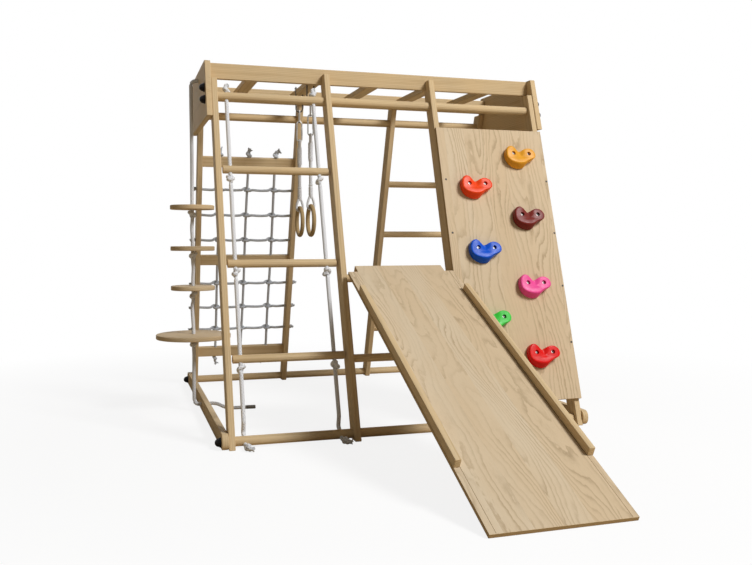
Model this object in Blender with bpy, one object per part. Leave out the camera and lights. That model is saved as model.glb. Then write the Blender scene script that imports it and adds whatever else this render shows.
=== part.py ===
"""Climbing frame with slide: a wooden A-frame gym for small children.

Four pairs of leaning posts carry a top of rails and slats. The bays hold a rope
ladder, a rope net, a wall with holds, plain rungs, a slide on a rung, two rings
and a rope of four seats. Metres, +Z up, +X along the length, +Y to the back.

Every place below is first stated from the corner of the left front post's foot,
and one empty moves the whole frame so that the origin is under its middle.
"""
import math

import bmesh
import bpy
from mathutils import Matrix, Vector

# Clear space between touching pieces, and round a rope in its bore
GAP = 0.0003
ROPE_CLEAR = 0.0009

# How far a bore's cutter reaches past the wood at each end
CUT_MARGIN = 0.05

# Stock sizes
STOCK = 0.0225
POST_DEPTH = 0.062
BAR_RADIUS = 0.017
RUNG_RADIUS = 0.015
BAR_SIDES = 24

# Leaning frames
LEAN = math.radians(18.55)
POST_PITCH = 0.444
FLOOR_DEPTH = 1.4452
OUTER_POST_HEIGHT = 1.332
MIDDLE_POST_HEIGHT = 1.374

# Top rails and slats
RAIL_FRONT_FACE = 0.4965
RAIL_THICKNESS = 0.022
RAIL_HEIGHT = 0.0605
FRONT_RAIL_BOTTOM = 1.3365
BACK_RAIL_DROP = 0.015
SLAT_WIDTH = 0.047
SLAT_THICKNESS = 0.022
SLAT_BOTTOM = 1.345
SLAT_PITCH = 0.252
SLAT_COUNT = 5

# Heights of the round pieces
TOP_BAR_HEIGHT = 1.2631
BASE_BAR_HEIGHT = 0.0228
LADDER_RUNG_HEIGHTS = (0.9766, 0.6271, 0.2933)
MIDDLE_RUNG_HEIGHTS = (0.569, 0.2796)
BACK_RUNG_HEIGHTS = (0.9835, 0.7411, 0.4987, 0.2563)

# End plates and base rails
PLATE_TOP = 1.400
PLATE_BOTTOM = 1.1805
PLATE_LAP = 0.0038
BASE_RAIL_HEIGHT = 0.056
BASE_RAIL_CORNER = 0.025

# Rope ladder
LADDER_ROPE_RADIUS = 0.0075
LADDER_ROPES_X = (0.058, 0.399)
LADDER_RUNG_START = 0.030
LADDER_RUNG_LENGTH = 0.406
LADDER_TAIL = 0.016

# Rope ladder's foot: where the rope bends into the base bar, and its lower knot.
# Each reach is a distance from the bar's middle, and a knot station is distance and swell.
FOOT_BORE_LEAN = math.radians(50)
FOOT_BEND_START = 0.075
FOOT_BEND_DEPTH = 0.006
FOOT_BEND_RISE = 0.056
FOOT_BEND_STEP = 0.014
FOOT_BORE_REACHES = (0.038, 0.024)
FOOT_BORE_EXIT = 0.022
FOOT_KNOT = ((0.009, 1.85), (0.024, 1.85), (0.033, 1.1))
FOOT_KNOT_LIFT = 0.006

# Rope net
NET_ROPE_RADIUS = 0.006
NET_BOARD_HEIGHTS = (1.0683, 0.6193, 0.1658)
NET_BOARD_WIDTH = 0.0465
NET_ROPES_X = (0.105, 0.231, 0.356)
NET_ROPE_HEIGHTS = (0.945, 0.829, 0.713, 0.506, 0.389, 0.280)
NET_TAIL = 0.012

# Knots: half length and how much wider than the rope
KNOT_HALF = 0.019
KNOT_SWELL = 2.0
NET_KNOT_HALF = 0.013
NET_KNOT_SWELL = 1.9
CROSSING_HALF = 0.011

# Climbing wall and its holds
WALL_LEFT = 0.8885
WALL_RIGHT = 1.358
WALL_BOTTOM = 0.098
WALL_TOP = 1.1645
WALL_THICKNESS = 0.0145
HOLD_DEPTH = 0.034
HOLD_EAR_TOP = 0.040
HOLD_TOP_DEPTH = 0.82
HOLD_SOCKETS = ((-0.033, 0.006), (0.035, 0.005))
HOLD_SOCKET_RADIUS = 0.0085
HOLD_SOCKET_FLOOR = 0.012

# A hold's outline from the dip between its two ears, round its right ear, its chin
# and its left ear, as place along the length and height
HOLD_OUTLINE = ((-0.008, 0.0150), (0.004, 0.0190), (0.018, 0.0260), (0.033, 0.0300), (0.048, 0.0275),
                (0.059, 0.0195), (0.065, 0.0070), (0.064, -0.0060), (0.056, -0.0165),
                (0.043, -0.0245), (0.030, -0.0320), (0.020, -0.0420), (0.009, -0.0510),
                (-0.005, -0.0550), (-0.021, -0.0535), (-0.036, -0.0480), (-0.050, -0.0385),
                (-0.060, -0.0250), (-0.0655, -0.0080), (-0.0655, 0.0090), (-0.0615, 0.0240),
                (-0.053, 0.0355), (-0.042, 0.0400), (-0.031, 0.0365), (-0.020, 0.0255))

# Each ring of a hold: share of its depth, scale of its outline, and rise
HOLD_RINGS = ((0.0, 0.98, 0.0), (0.40, 1.0, 0.0), (0.82, 0.92, 0.001), (1.0, 0.78, 0.002))

# Each hold: colour, place along the length, and height
HOLD_PLACES = (("yellow", 1.2385, 1.054), ("orange", 1.0255, 0.926), ("maroon", 1.2375, 0.803),
               ("blue", 1.0275, 0.671), ("pink", 1.2195, 0.533), ("green", 1.0285, 0.407),
               ("red", 1.2135, 0.270))

# Slide
SLIDE_ANGLE = math.radians(26)
SLIDE_SKEW = math.radians(0.93)
SLIDE_TOP_X = 0.6745
SLIDE_WIDTH = 0.421
SLIDE_BELOW_RUNG = 1.3654
SLIDE_SHOULDER = -0.0314
SLIDE_TONGUE_END = 0.0146
SLIDE_THICKNESS = 0.0128
SLIDE_LIFT = 0.0329
TONGUE_LEFT = 0.037
TONGUE_RIGHT = 0.385
BATTEN_START = -0.0254
GUARD_WIDTH = 0.019
GUARD_RISE = 0.0265
GUARD_START = 0.240
GUARD_LENGTH = 0.945

# Seats on a rope
SEAT_ROPE_X = -0.052
SEAT_ROPE_RADIUS = 0.0075
SEAT_BORE_RADIUS = 0.0087
SEAT_ROPE_BEND = 0.020
SMALL_SEAT_RADIUS = 0.0895
LARGE_SEAT_RADIUS = 0.152
SEAT_THICKNESS = 0.0185
SEAT_HEIGHTS = (0.8475, 0.6783, 0.5151, 0.3146)
SEAT_ROPE_HOLE_HEIGHT = 1.365
BASE_HOLE_HEIGHT = 0.028

# The seats' rope inside the end plate, as place along the length and swell of its knot
SEAT_ROPE_TOP_KNOT = ((0.036, 1.0), (0.028, 2.0), (0.012, 2.0), (0.003, 1.0))

# The seats' rope from the base rail's hole to its end on the floor
SEAT_ROPE_TAIL = ((0.008, 0.7226, 0.028), (0.024, 0.7215, 0.0285), (0.045, 0.7155, 0.025),
                  (0.066, 0.707, 0.0155), (0.088, 0.702, 0.009), (0.120, 0.701, 0.008),
                  (0.160, 0.701, 0.008), (0.198, 0.699, 0.008))
SEAT_ROPE_TAIL_STEP = 0.018

# Rings
RING_X = 0.4165
RING_YS = (0.80, 0.58)
RING_CENTRE_HEIGHT = 0.794
RING_RADIUS = 0.0595
RING_TUBE = 0.008
RING_ROPE_RADIUS = 0.0075
EYE_ROPE_RADIUS = 0.0045
EYE_RADIUS = 0.0135
HOOK_HALF_WIDTH = 0.0145
HOOK_RADIUS = 0.003
HOOK_BOTTOM = 1.2695
HOOK_ABOVE_SLAT = 0.010
HOOK_STEPS = 8
RING_STEPS = 24

# The ring rope's strand between its two eyes, as height and swell
RING_STRAND = ((1.116, 1.2), (1.108, 1.5), (1.050, 1.4), (1.035, 1.0), (0.950, 1.0),
               (0.935, 1.25), (0.905, 1.25), (0.893, 1.0))

# Each closed link above the strand: half width, heights of its two arcs' middles, and wire
UPPER_EYE = (0.0095, 1.122, 1.138, EYE_ROPE_RADIUS)
SNAP_LINK = (0.0105, 1.1535, 1.2160, 0.003)
SHACKLE = (0.0075, 1.2300, 1.2705, 0.0025)

# The lower eye above its half circle, as share of its half width and height
LOWER_EYE_TOP = ((1.0, 0.8655), (0.53, 0.891), (0.0, 0.895), (-0.53, 0.891), (-1.0, 0.8655))
LINK_STEPS = 6

# Worked out from the sizes above
SLOPE = math.tan(LEAN)
POST_RUN = POST_DEPTH / math.cos(LEAN)
MID_DEPTH = POST_DEPTH / 2
MIDDLE_Y = FLOOR_DEPTH / 2
LENGTH = 3 * POST_PITCH + STOCK
CLEAR_BAY = POST_PITCH - STOCK - 2 * GAP
BASE_RAIL_OUTSIDE = STOCK + GAP
FRAME_LEFT = SEAT_ROPE_X - LARGE_SEAT_RADIUS
FRAME_RIGHT = LENGTH + BASE_RAIL_OUTSIDE


def material(name, colour, roughness, metallic=0.0):
    """A plain material of one colour."""
    look = bpy.data.materials.new(name)
    look.use_nodes = True
    shader = look.node_tree.nodes["Principled BSDF"]
    shader.inputs["Base Color"].default_value = (*colour, 1.0)
    shader.inputs["Roughness"].default_value = roughness
    shader.inputs["Metallic"].default_value = metallic
    look.diffuse_color = (*colour, 1.0)
    return look


def empty(name, parent=None, location=(0, 0, 0), rotation=(0, 0, 0)):
    """An axis cross that other objects are placed by."""
    cross = bpy.data.objects.new(name, None)
    cross.location = location
    cross.rotation_euler = rotation
    cross.parent = parent
    bpy.context.scene.collection.objects.link(cross)
    return cross


def add_object(name, data, parent, look=None, location=(0, 0, 0), rotation=(0, 0, 0)):
    """Link an object and place it by its parent, location and rotation."""
    piece = bpy.data.objects.new(name, data)
    piece.location = location
    piece.rotation_euler = rotation
    piece.parent = parent
    if look is not None:
        data.materials.append(look)
    bpy.context.scene.collection.objects.link(piece)
    return piece


def mesh_from(name, shape, smooth_angle=None):
    """Turn a bmesh into mesh data, with round faces shaded smooth."""
    bmesh.ops.recalc_face_normals(shape, faces=shape.faces)
    data = bpy.data.meshes.new(name)
    shape.to_mesh(data)
    shape.free()
    if smooth_angle is not None:
        data.shade_smooth()
        data.set_sharp_from_angle(angle=math.radians(smooth_angle))
    return data


def block_mesh(name, size):
    """A block centred on its own origin."""
    shape = bmesh.new()
    bmesh.ops.create_cube(shape, size=1.0)
    bmesh.ops.scale(shape, vec=size, verts=shape.verts)
    return mesh_from(name, shape)


def extrude_outline(shape, outline, move):
    """Extrude one flat outline of 3-D points into a closed prism."""
    face = shape.faces.new([shape.verts.new(point) for point in outline])
    made = bmesh.ops.extrude_face_region(shape, geom=[face])
    moved = [item for item in made["geom"] if isinstance(item, bmesh.types.BMVert)]
    bmesh.ops.translate(shape, vec=move, verts=moved)


def side_prism_mesh(name, outline, width=STOCK):
    """A board whose outline is drawn in Y and Z, with its width along +X."""
    shape = bmesh.new()
    extrude_outline(shape, [(0, y, z) for y, z in outline], (width, 0, 0))
    return mesh_from(name, shape, 20)


def bar_mesh(name, radius, length, sides=BAR_SIDES):
    """A round bar along +X that starts at its own origin."""
    shape = bmesh.new()
    turn = Matrix.Translation((length / 2, 0, 0)) @ Matrix.Rotation(math.pi / 2, 4, "Y")
    bmesh.ops.create_cone(shape, cap_ends=True, segments=sides, radius1=radius, radius2=radius,
                          depth=length, matrix=turn)
    return mesh_from(name, shape, 40)


def rods_mesh(name, rods, sides=12):
    """Several straight rods in one mesh, each given by centre, direction, radius and length."""
    shape = bmesh.new()
    for centre, direction, radius, length in rods:
        turn = Vector((0, 0, 1)).rotation_difference(Vector(direction)).to_matrix().to_4x4()
        bmesh.ops.create_cone(shape, cap_ends=True, segments=sides, radius1=radius, radius2=radius,
                              depth=length, matrix=Matrix.Translation(centre) @ turn)
    return mesh_from(name, shape)


def hide_tool(tool):
    """Keep a shape that only cuts or joins out of the finished frame."""
    tool.hide_render = True
    tool.display_type = "WIRE"
    return tool


def combine(target, tool, operation="DIFFERENCE"):
    """Cut one shape out of a piece, or join it on."""
    step = target.modifiers.new(tool.name, "BOOLEAN")
    step.operation = operation
    step.object = tool


def rope_curve(name, stations, radius, cyclic=False):
    """A rope through stations, each a point and how much wider the rope is there."""
    data = bpy.data.curves.new(name, "CURVE")
    data.dimensions = "3D"
    data.bevel_depth = radius
    data.bevel_resolution = 2
    data.use_fill_caps = not cyclic
    strand = data.splines.new("POLY")
    strand.points.add(len(stations) - 1)
    for point, (place, swell) in zip(strand.points, stations):
        point.co = (*place, 1.0)
        point.radius = swell
    strand.use_cyclic_u = cyclic
    return data


def rope_mesh(name, ropes, radius, cyclic=False):
    """The closed meshes of one or more ropes, for shapes that are joined."""
    shape = bmesh.new()
    for stations in ropes:
        guide = bpy.data.objects.new("rope_guide", rope_curve("rope_guide", stations, radius, cyclic))
        tube = bpy.data.meshes.new_from_object(guide)
        shape.from_mesh(tube)
        bpy.data.objects.remove(guide)
        bpy.data.meshes.remove(tube)
    bmesh.ops.remove_doubles(shape, verts=shape.verts, dist=0.000001)
    return mesh_from(name, shape, 60)


def straight_stations(start, end, knots, half, swell, middle_rings=2):
    """Stations of a straight rope, swollen to a knot at each distance in knots."""
    start, end = Vector(start), Vector(end)
    run = (end - start).normalized()
    rings = [(0.0, 1.0)]
    for knot in knots:
        rings.append((knot - half, 1.0))
        for ring in range(middle_rings):
            share = (ring + 1) / (middle_rings + 1)
            rings.append((knot + half * (2 * share - 1), swell))
        rings.append((knot + half, 1.0))
    rings.append(((end - start).length, 1.0))
    return [(start + run * distance, width) for distance, width in rings]


def smooth_route(points, step):
    """Points at even steps along a smooth curve through the route's own points."""
    route = [Vector(point) for point in points]
    padded = [2 * route[0] - route[1], *route, 2 * route[-1] - route[-2]]
    places = []
    for before, start, end, after in zip(padded, padded[1:], padded[2:], padded[3:]):
        count = max(1, round((end - start).length / step))
        for index in range(count):
            t = index / count
            places.append(0.5 * (2 * start + (end - before) * t
                                 + (2 * before - 5 * start + 4 * end - after) * t * t
                                 + (3 * start - before - 3 * end + after) * t ** 3))
    places.append(route[-1])
    return places


def quarter_turn(x, height, rise, steps=5):
    """Stations of a rope that leaves a hole in the left end and turns to hang at x."""
    centre = Vector((x + SEAT_ROPE_BEND, MIDDLE_Y, height + rise * SEAT_ROPE_BEND))
    stations = []
    for index in range(steps + 1):
        turn = math.pi / 2 * index / steps
        reach = Vector((-math.sin(turn), 0, -rise * math.cos(turn)))
        stations.append((centre + SEAT_ROPE_BEND * reach, 1.0))
    return stations


def half_circle(across, half_width, middle, first):
    """Stations of a half circle in a plane through +Z, from its first angle on."""
    stations = []
    for step in range(LINK_STEPS + 1):
        turn = first + math.pi * step / LINK_STEPS
        reach = Vector(across) * half_width * math.cos(turn)
        stations.append((reach + Vector((0, 0, middle + half_width * math.sin(turn))), 1.0))
    return stations


def stadium(across, half_width, low, high):
    """A closed loop of two half circles joined by straight sides."""
    return half_circle(across, half_width, high, 0.0) + half_circle(across, half_width, low, math.pi)


def along(height, depth=MID_DEPTH):
    """Distance up a leaning frame to a height, at a depth behind its outer face."""
    return (height + depth * math.sin(LEAN)) / math.cos(LEAN)


def post_outline(height, notch_floor=None):
    """Side view of a front post; a middle post is notched behind for the rail."""
    outline = [(0, 0), (POST_RUN, 0)]
    if notch_floor is None:
        outline.append((POST_RUN + SLOPE * height, height))
    else:
        tongue_back = RAIL_FRONT_FACE - GAP
        outline.append((POST_RUN + SLOPE * notch_floor, notch_floor))
        outline.append((tongue_back, notch_floor))
        outline.append((tongue_back, height))
    outline.append((SLOPE * height, height))
    return outline


def add_posts(frame, look):
    """Eight leaning posts; the middle ones carry the rails in a notch."""
    posts = {}
    for side, drop, mirror in (("front", 0.0, 1), ("back", BACK_RAIL_DROP, -1)):
        outer = post_outline(OUTER_POST_HEIGHT - drop)
        middle = post_outline(MIDDLE_POST_HEIGHT - drop, FRONT_RAIL_BOTTOM - drop - GAP)
        places = ("left", "mid_left", "mid_right", "right")
        for index, place in enumerate(places):
            outline = outer if index in (0, 3) else middle
            name = f"post_{side}_{place}"
            data = side_prism_mesh(name, [(mirror * y, z) for y, z in outline])
            location = (index * POST_PITCH, 0 if mirror > 0 else FLOOR_DEPTH, 0)
            posts[side, place] = add_object(name, data, frame, look, location)
    return posts


def add_top(frame, look):
    """Two end plates, two rails on edge and five slats between them."""
    half_bottom = MIDDLE_Y - (SLOPE * PLATE_BOTTOM - PLATE_LAP)
    half_top = MIDDLE_Y - (SLOPE * PLATE_TOP - PLATE_LAP)
    outline = [(-half_bottom, PLATE_BOTTOM), (half_bottom, PLATE_BOTTOM),
               (half_top, PLATE_TOP), (-half_top, PLATE_TOP)]
    plates = []
    for name, x in (("end_plate_left", -STOCK - GAP), ("end_plate_right", LENGTH + GAP)):
        plates.append(add_object(name, side_prism_mesh(name, outline), frame, look, (x, MIDDLE_Y, 0)))
    rail_size = (LENGTH, RAIL_THICKNESS, RAIL_HEIGHT)
    rail_y = RAIL_FRONT_FACE + RAIL_THICKNESS / 2
    rail_z = FRONT_RAIL_BOTTOM + RAIL_HEIGHT / 2
    add_object("top_rail_front", block_mesh("top_rail_front", rail_size), frame, look,
               (LENGTH / 2, rail_y, rail_z))
    add_object("top_rail_back", block_mesh("top_rail_back", rail_size), frame, look,
               (LENGTH / 2, FLOOR_DEPTH - rail_y, rail_z - BACK_RAIL_DROP))
    slat_length = FLOOR_DEPTH - 2 * (RAIL_FRONT_FACE + RAIL_THICKNESS + GAP)
    slats = []
    for index in range(SLAT_COUNT):
        name = f"top_slat_{index + 1}"
        x = LENGTH / 2 + (index - (SLAT_COUNT - 1) / 2) * SLAT_PITCH
        data = block_mesh(name, (SLAT_WIDTH, slat_length, SLAT_THICKNESS))
        slats.append(add_object(name, data, frame, look,
                                (x, MIDDLE_Y, SLAT_BOTTOM + SLAT_THICKNESS / 2)))
    return plates, slats


def add_base_rails(frame, look):
    """Two floor rails outside the outer posts, with rounded ends."""
    ends = []
    corner = BASE_RAIL_CORNER
    for y, first in ((FLOOR_DEPTH - corner, 0.0), (corner, math.pi)):
        for z, start in ((corner, -math.pi / 2), (BASE_RAIL_HEIGHT - corner, 0.0)):
            centre_z = z if first == 0.0 else BASE_RAIL_HEIGHT - z
            for index in range(5):
                turn = first + start + index * math.pi / 8
                ends.append((y + corner * math.cos(turn), centre_z + corner * math.sin(turn)))
    rails = []
    for name, x in (("base_rail_left", -STOCK - GAP), ("base_rail_right", LENGTH + GAP)):
        rails.append(add_object(name, side_prism_mesh(name, ends), frame, look, (x, 0, 0)))
    return rails


def add_bars(front, back, posts, look):
    """Top and base bars, which run from end to end through the middle posts."""
    start = STOCK + GAP
    length = LENGTH - 2 * start
    bars = {}
    for side, plane, depth in (("front", front, MID_DEPTH), ("back", back, -MID_DEPTH)):
        for level, height in (("top", TOP_BAR_HEIGHT), ("base", BASE_BAR_HEIGHT)):
            name = f"{level}_bar_{side}"
            place = (start, depth, along(height))
            bars[level, side] = add_object(name, bar_mesh(name, BAR_RADIUS, length), plane, look, place)
            bore = bar_mesh(f"{name}_bore", BAR_RADIUS + GAP, length)
            cutter = hide_tool(add_object(f"{name}_bore", bore, plane, location=place))
            combine(posts[side, "mid_left"], cutter)
            combine(posts[side, "mid_right"], cutter)
    return bars


def add_rungs(front, back, look):
    """Fixed rungs: two in the middle front bay and four in the right back bay."""
    for height, level in zip(MIDDLE_RUNG_HEIGHTS, ("upper", "lower")):
        name = f"middle_rung_{level}"
        add_object(name, bar_mesh(name, RUNG_RADIUS, CLEAR_BAY), front, look,
                   (POST_PITCH + STOCK + GAP, MID_DEPTH, along(height)))
    for index, height in enumerate(BACK_RUNG_HEIGHTS):
        name = f"back_rung_{index + 1}"
        add_object(name, bar_mesh(name, RUNG_RADIUS, CLEAR_BAY), back, look,
                   (2 * POST_PITCH + STOCK + GAP, -MID_DEPTH, along(height)))


def add_rope_ladder(front, bars, wood, rope):
    """Three rungs on two ropes that hang from the top bar and end at the base bar."""
    levels = [along(height) for height in LADDER_RUNG_HEIGHTS]
    top, base = along(TOP_BAR_HEIGHT), along(BASE_BAR_HEIGHT)
    rungs = []
    for index, level in enumerate(levels):
        name = f"ladder_rung_{index + 1}"
        rungs.append(add_object(name, bar_mesh(name, RUNG_RADIUS, LADDER_RUNG_LENGTH), front, wood,
                                (LADDER_RUNG_START, MID_DEPTH, level)))
    bore_radius = LADDER_ROPE_RADIUS + ROPE_CLEAR
    bore_length = top - levels[-1] + 2 * CUT_MARGIN
    foot_run = Vector((0, math.sin(FOOT_BORE_LEAN - LEAN), math.cos(FOOT_BORE_LEAN - LEAN)))
    bores = []
    foot_bores = []
    for x in LADDER_ROPES_X:
        bores.append(((x, MID_DEPTH, (top + levels[-1]) / 2), (0, 0, 1), bore_radius, bore_length))
        foot_bores.append(((x, MID_DEPTH, base), foot_run, bore_radius, 3 * BAR_RADIUS))
    ladder_cutter = hide_tool(add_object("ladder_bores", rods_mesh("ladder_bores", bores), front))
    for piece in (bars["top", "front"], *rungs):
        combine(piece, ladder_cutter)
    foot_cutter = hide_tool(add_object("ladder_foot_bores", rods_mesh("ladder_foot_bores", foot_bores),
                                       front))
    combine(bars["base", "front"], foot_cutter)
    knot_clear = KNOT_HALF + GAP
    knot_levels = [top + BAR_RADIUS + knot_clear]
    knot_levels += [level - RUNG_RADIUS - knot_clear for level in levels]
    start = top + BAR_RADIUS + 2 * knot_clear + LADDER_TAIL
    bend_start = base + FOOT_BEND_START
    forward = Vector((0, -math.cos(LEAN), -math.sin(LEAN)))
    lift = Vector((0, -math.sin(LEAN), math.cos(LEAN))) * FOOT_KNOT_LIFT
    for x, side in zip(LADDER_ROPES_X, ("left", "right")):
        stations = straight_stations((x, MID_DEPTH, start), (x, MID_DEPTH, bend_start),
                                     [start - level for level in knot_levels], KNOT_HALF, KNOT_SWELL)
        middle = Vector((x, MID_DEPTH, base))
        bend = [(x, MID_DEPTH, bend_start), (x, MID_DEPTH + FOOT_BEND_DEPTH, base + FOOT_BEND_RISE)]
        bend += [middle + foot_run * reach for reach in FOOT_BORE_REACHES]
        stations += [(place, 1.0) for place in smooth_route(bend, FOOT_BEND_STEP)[1:]]
        leave = middle - foot_run * FOOT_BORE_EXIT
        stations.append((leave, 1.0))
        for distance, swell in FOOT_KNOT:
            stations.append((leave + forward * distance + lift, swell))
        name = f"ladder_rope_{side}"
        add_object(name, rope_curve(name, stations, LADDER_ROPE_RADIUS), front, rope)


def add_net(back, posts, wood, rope):
    """A rope net knotted through three boards and two posts."""
    boards = []
    for height, level in zip(NET_BOARD_HEIGHTS, ("top", "middle", "bottom")):
        name = f"net_board_{level}"
        data = block_mesh(name, (CLEAR_BAY, STOCK, NET_BOARD_WIDTH))
        boards.append(add_object(name, data, back, wood,
                                 (STOCK + GAP + CLEAR_BAY / 2, -MID_DEPTH, along(height))))
    rows = [along(height) for height in NET_ROPE_HEIGHTS]
    top, bottom = along(NET_BOARD_HEIGHTS[0]), along(NET_BOARD_HEIGHTS[-1])
    bore_radius = NET_ROPE_RADIUS + ROPE_CLEAR
    posts_end = POST_PITCH + STOCK
    row_bores = [((posts_end / 2, -MID_DEPTH, row), (1, 0, 0), bore_radius, posts_end + 2 * CUT_MARGIN)
                 for row in rows]
    row_cutter = hide_tool(add_object("net_row_bores", rods_mesh("net_row_bores", row_bores), back))
    combine(posts["back", "left"], row_cutter)
    combine(posts["back", "mid_left"], row_cutter)
    upright_length = top - bottom + 2 * CUT_MARGIN
    upright_bores = [((x, -MID_DEPTH, (top + bottom) / 2), (0, 0, 1), bore_radius, upright_length)
                     for x in NET_ROPES_X]
    upright_cutter = hide_tool(add_object("net_upright_bores",
                                          rods_mesh("net_upright_bores", upright_bores), back))
    for board in boards:
        combine(board, upright_cutter)
    knot_clear = NET_KNOT_HALF + GAP
    board_reach = NET_BOARD_WIDTH / 2 + knot_clear
    ends = (top + board_reach + NET_KNOT_HALF + NET_TAIL, bottom - board_reach - NET_KNOT_HALF - NET_TAIL)
    uprights = []
    for x in NET_ROPES_X:
        knots = (ends[0] - top - board_reach, ends[0] - bottom + board_reach)
        uprights.append(straight_stations((x, -MID_DEPTH, ends[0]), (x, -MID_DEPTH, ends[1]), knots,
                                          NET_KNOT_HALF, NET_KNOT_SWELL))
    net_rows = []
    side_reach = 2 * NET_KNOT_HALF + GAP + NET_TAIL
    for row in rows:
        start = (-side_reach, -MID_DEPTH, row)
        crossings = [x + side_reach for x in NET_ROPES_X]
        stations = straight_stations(start, (posts_end + side_reach, -MID_DEPTH, row), crossings,
                                     CROSSING_HALF, NET_KNOT_SWELL, 1)
        left_knot = straight_stations(start, (0, -MID_DEPTH, row), [side_reach - knot_clear],
                                      NET_KNOT_HALF, NET_KNOT_SWELL)
        right_knot = straight_stations((posts_end, -MID_DEPTH, row), stations[-1][0], [knot_clear],
                                       NET_KNOT_HALF, NET_KNOT_SWELL)
        net_rows.append(left_knot[:-1] + stations[1:-1] + right_knot[1:])
    uprights_tool = hide_tool(add_object("net_uprights",
                                         rope_mesh("net_uprights", uprights, NET_ROPE_RADIUS), back))
    net = add_object("rope_net", rope_mesh("rope_net", net_rows, NET_ROPE_RADIUS), back, rope)
    combine(net, uprights_tool, "UNION")


def add_wall(front, look):
    """The climbing wall's board, fastened on the fronts of the right-hand posts."""
    low, high = along(WALL_BOTTOM, 0), along(WALL_TOP, 0)
    data = block_mesh("climbing_wall", (WALL_RIGHT - WALL_LEFT, WALL_THICKNESS, high - low))
    add_object("climbing_wall", data, front, look,
               ((WALL_LEFT + WALL_RIGHT) / 2, -GAP - WALL_THICKNESS / 2, (low + high) / 2))


def hold_mesh(name):
    """A two-eared hold, fuller below, with its flat back at Y = 0 and its front at -Y."""
    shape = bmesh.new()
    loops = []
    for depth, scale, rise in HOLD_RINGS:
        loop = []
        for x, z in HOLD_OUTLINE:
            lean_out = HOLD_TOP_DEPTH + (1 - HOLD_TOP_DEPTH) * (HOLD_EAR_TOP - z) / (2 * HOLD_EAR_TOP)
            loop.append(shape.verts.new((scale * x, -HOLD_DEPTH * depth * lean_out, scale * z + rise)))
        loops.append(loop)
    corners = len(HOLD_OUTLINE)
    for lower, upper in zip(loops, loops[1:]):
        for index in range(corners):
            after = (index + 1) % corners
            shape.faces.new((lower[index], lower[after], upper[after], upper[index]))
    shape.faces.new(loops[0])
    bmesh.ops.triangulate(shape, faces=[shape.faces.new(loops[-1])])
    return mesh_from(name, shape, 50)


def add_holds(front, looks):
    """Seven holds screwed to the wall, each with two sockets for the screws."""
    face = -GAP - WALL_THICKNESS - GAP
    for colour, x, height in HOLD_PLACES:
        name = f"hold_{colour}"
        location = (x, face, along(height, face))
        hold = add_object(name, hold_mesh(name), front, looks[colour], location)
        sockets = [((reach, -HOLD_SOCKET_FLOOR - HOLD_DEPTH / 2, rise), (0, 1, 0), HOLD_SOCKET_RADIUS,
                    HOLD_DEPTH) for reach, rise in HOLD_SOCKETS]
        cutter = add_object(f"{name}_sockets", rods_mesh(f"{name}_sockets", sockets), front,
                            location=location)
        combine(hold, hide_tool(cutter))


def add_slide(frame, look):
    """The slide hangs by a notched batten on the upper middle rung."""
    rung_y = SLOPE * MIDDLE_RUNG_HEIGHTS[0] + POST_RUN / 2
    pivot = empty("slide_pivot", frame, (SLIDE_TOP_X, rung_y, MIDDLE_RUNG_HEIGHTS[0]),
                  (SLIDE_ANGLE, 0, SLIDE_SKEW))
    half = SLIDE_WIDTH / 2
    left, right = TONGUE_LEFT - half, TONGUE_RIGHT - half
    outline = [(-half, -SLIDE_BELOW_RUNG), (half, -SLIDE_BELOW_RUNG), (half, SLIDE_SHOULDER),
               (right, SLIDE_SHOULDER), (right, SLIDE_TONGUE_END), (left, SLIDE_TONGUE_END),
               (left, SLIDE_SHOULDER), (-half, SLIDE_SHOULDER)]
    shape = bmesh.new()
    extrude_outline(shape, [(x, y, 0) for x, y in outline], (0, 0, SLIDE_THICKNESS))
    board = add_object("slide_board", mesh_from("slide_board", shape), pivot, look, (0, 0, SLIDE_LIFT))
    batten_run = SLIDE_TONGUE_END - BATTEN_START
    batten = add_object("slide_batten", block_mesh("slide_batten", (right - left, batten_run, STOCK)), pivot,
                        location=((left + right) / 2, (SLIDE_TONGUE_END + BATTEN_START) / 2,
                                  SLIDE_LIFT - STOCK / 2 + GAP))
    notch = add_object("slide_notch", bar_mesh("slide_notch", RUNG_RADIUS + 2 * GAP, SLIDE_WIDTH), frame,
                       location=(SLIDE_TOP_X - half, rung_y, MIDDLE_RUNG_HEIGHTS[0]))
    combine(board, hide_tool(batten), "UNION")
    combine(board, hide_tool(notch))
    guard_y = GUARD_START + GUARD_LENGTH / 2 - SLIDE_BELOW_RUNG
    guard_z = SLIDE_LIFT + SLIDE_THICKNESS + GAP + GUARD_RISE / 2
    for side, x in (("left", -half + GUARD_WIDTH / 2), ("right", half - GUARD_WIDTH / 2)):
        name = f"slide_guard_{side}"
        add_object(name, block_mesh(name, (GUARD_WIDTH, GUARD_LENGTH, GUARD_RISE)), pivot, look,
                   (x, guard_y, guard_z))


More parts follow.
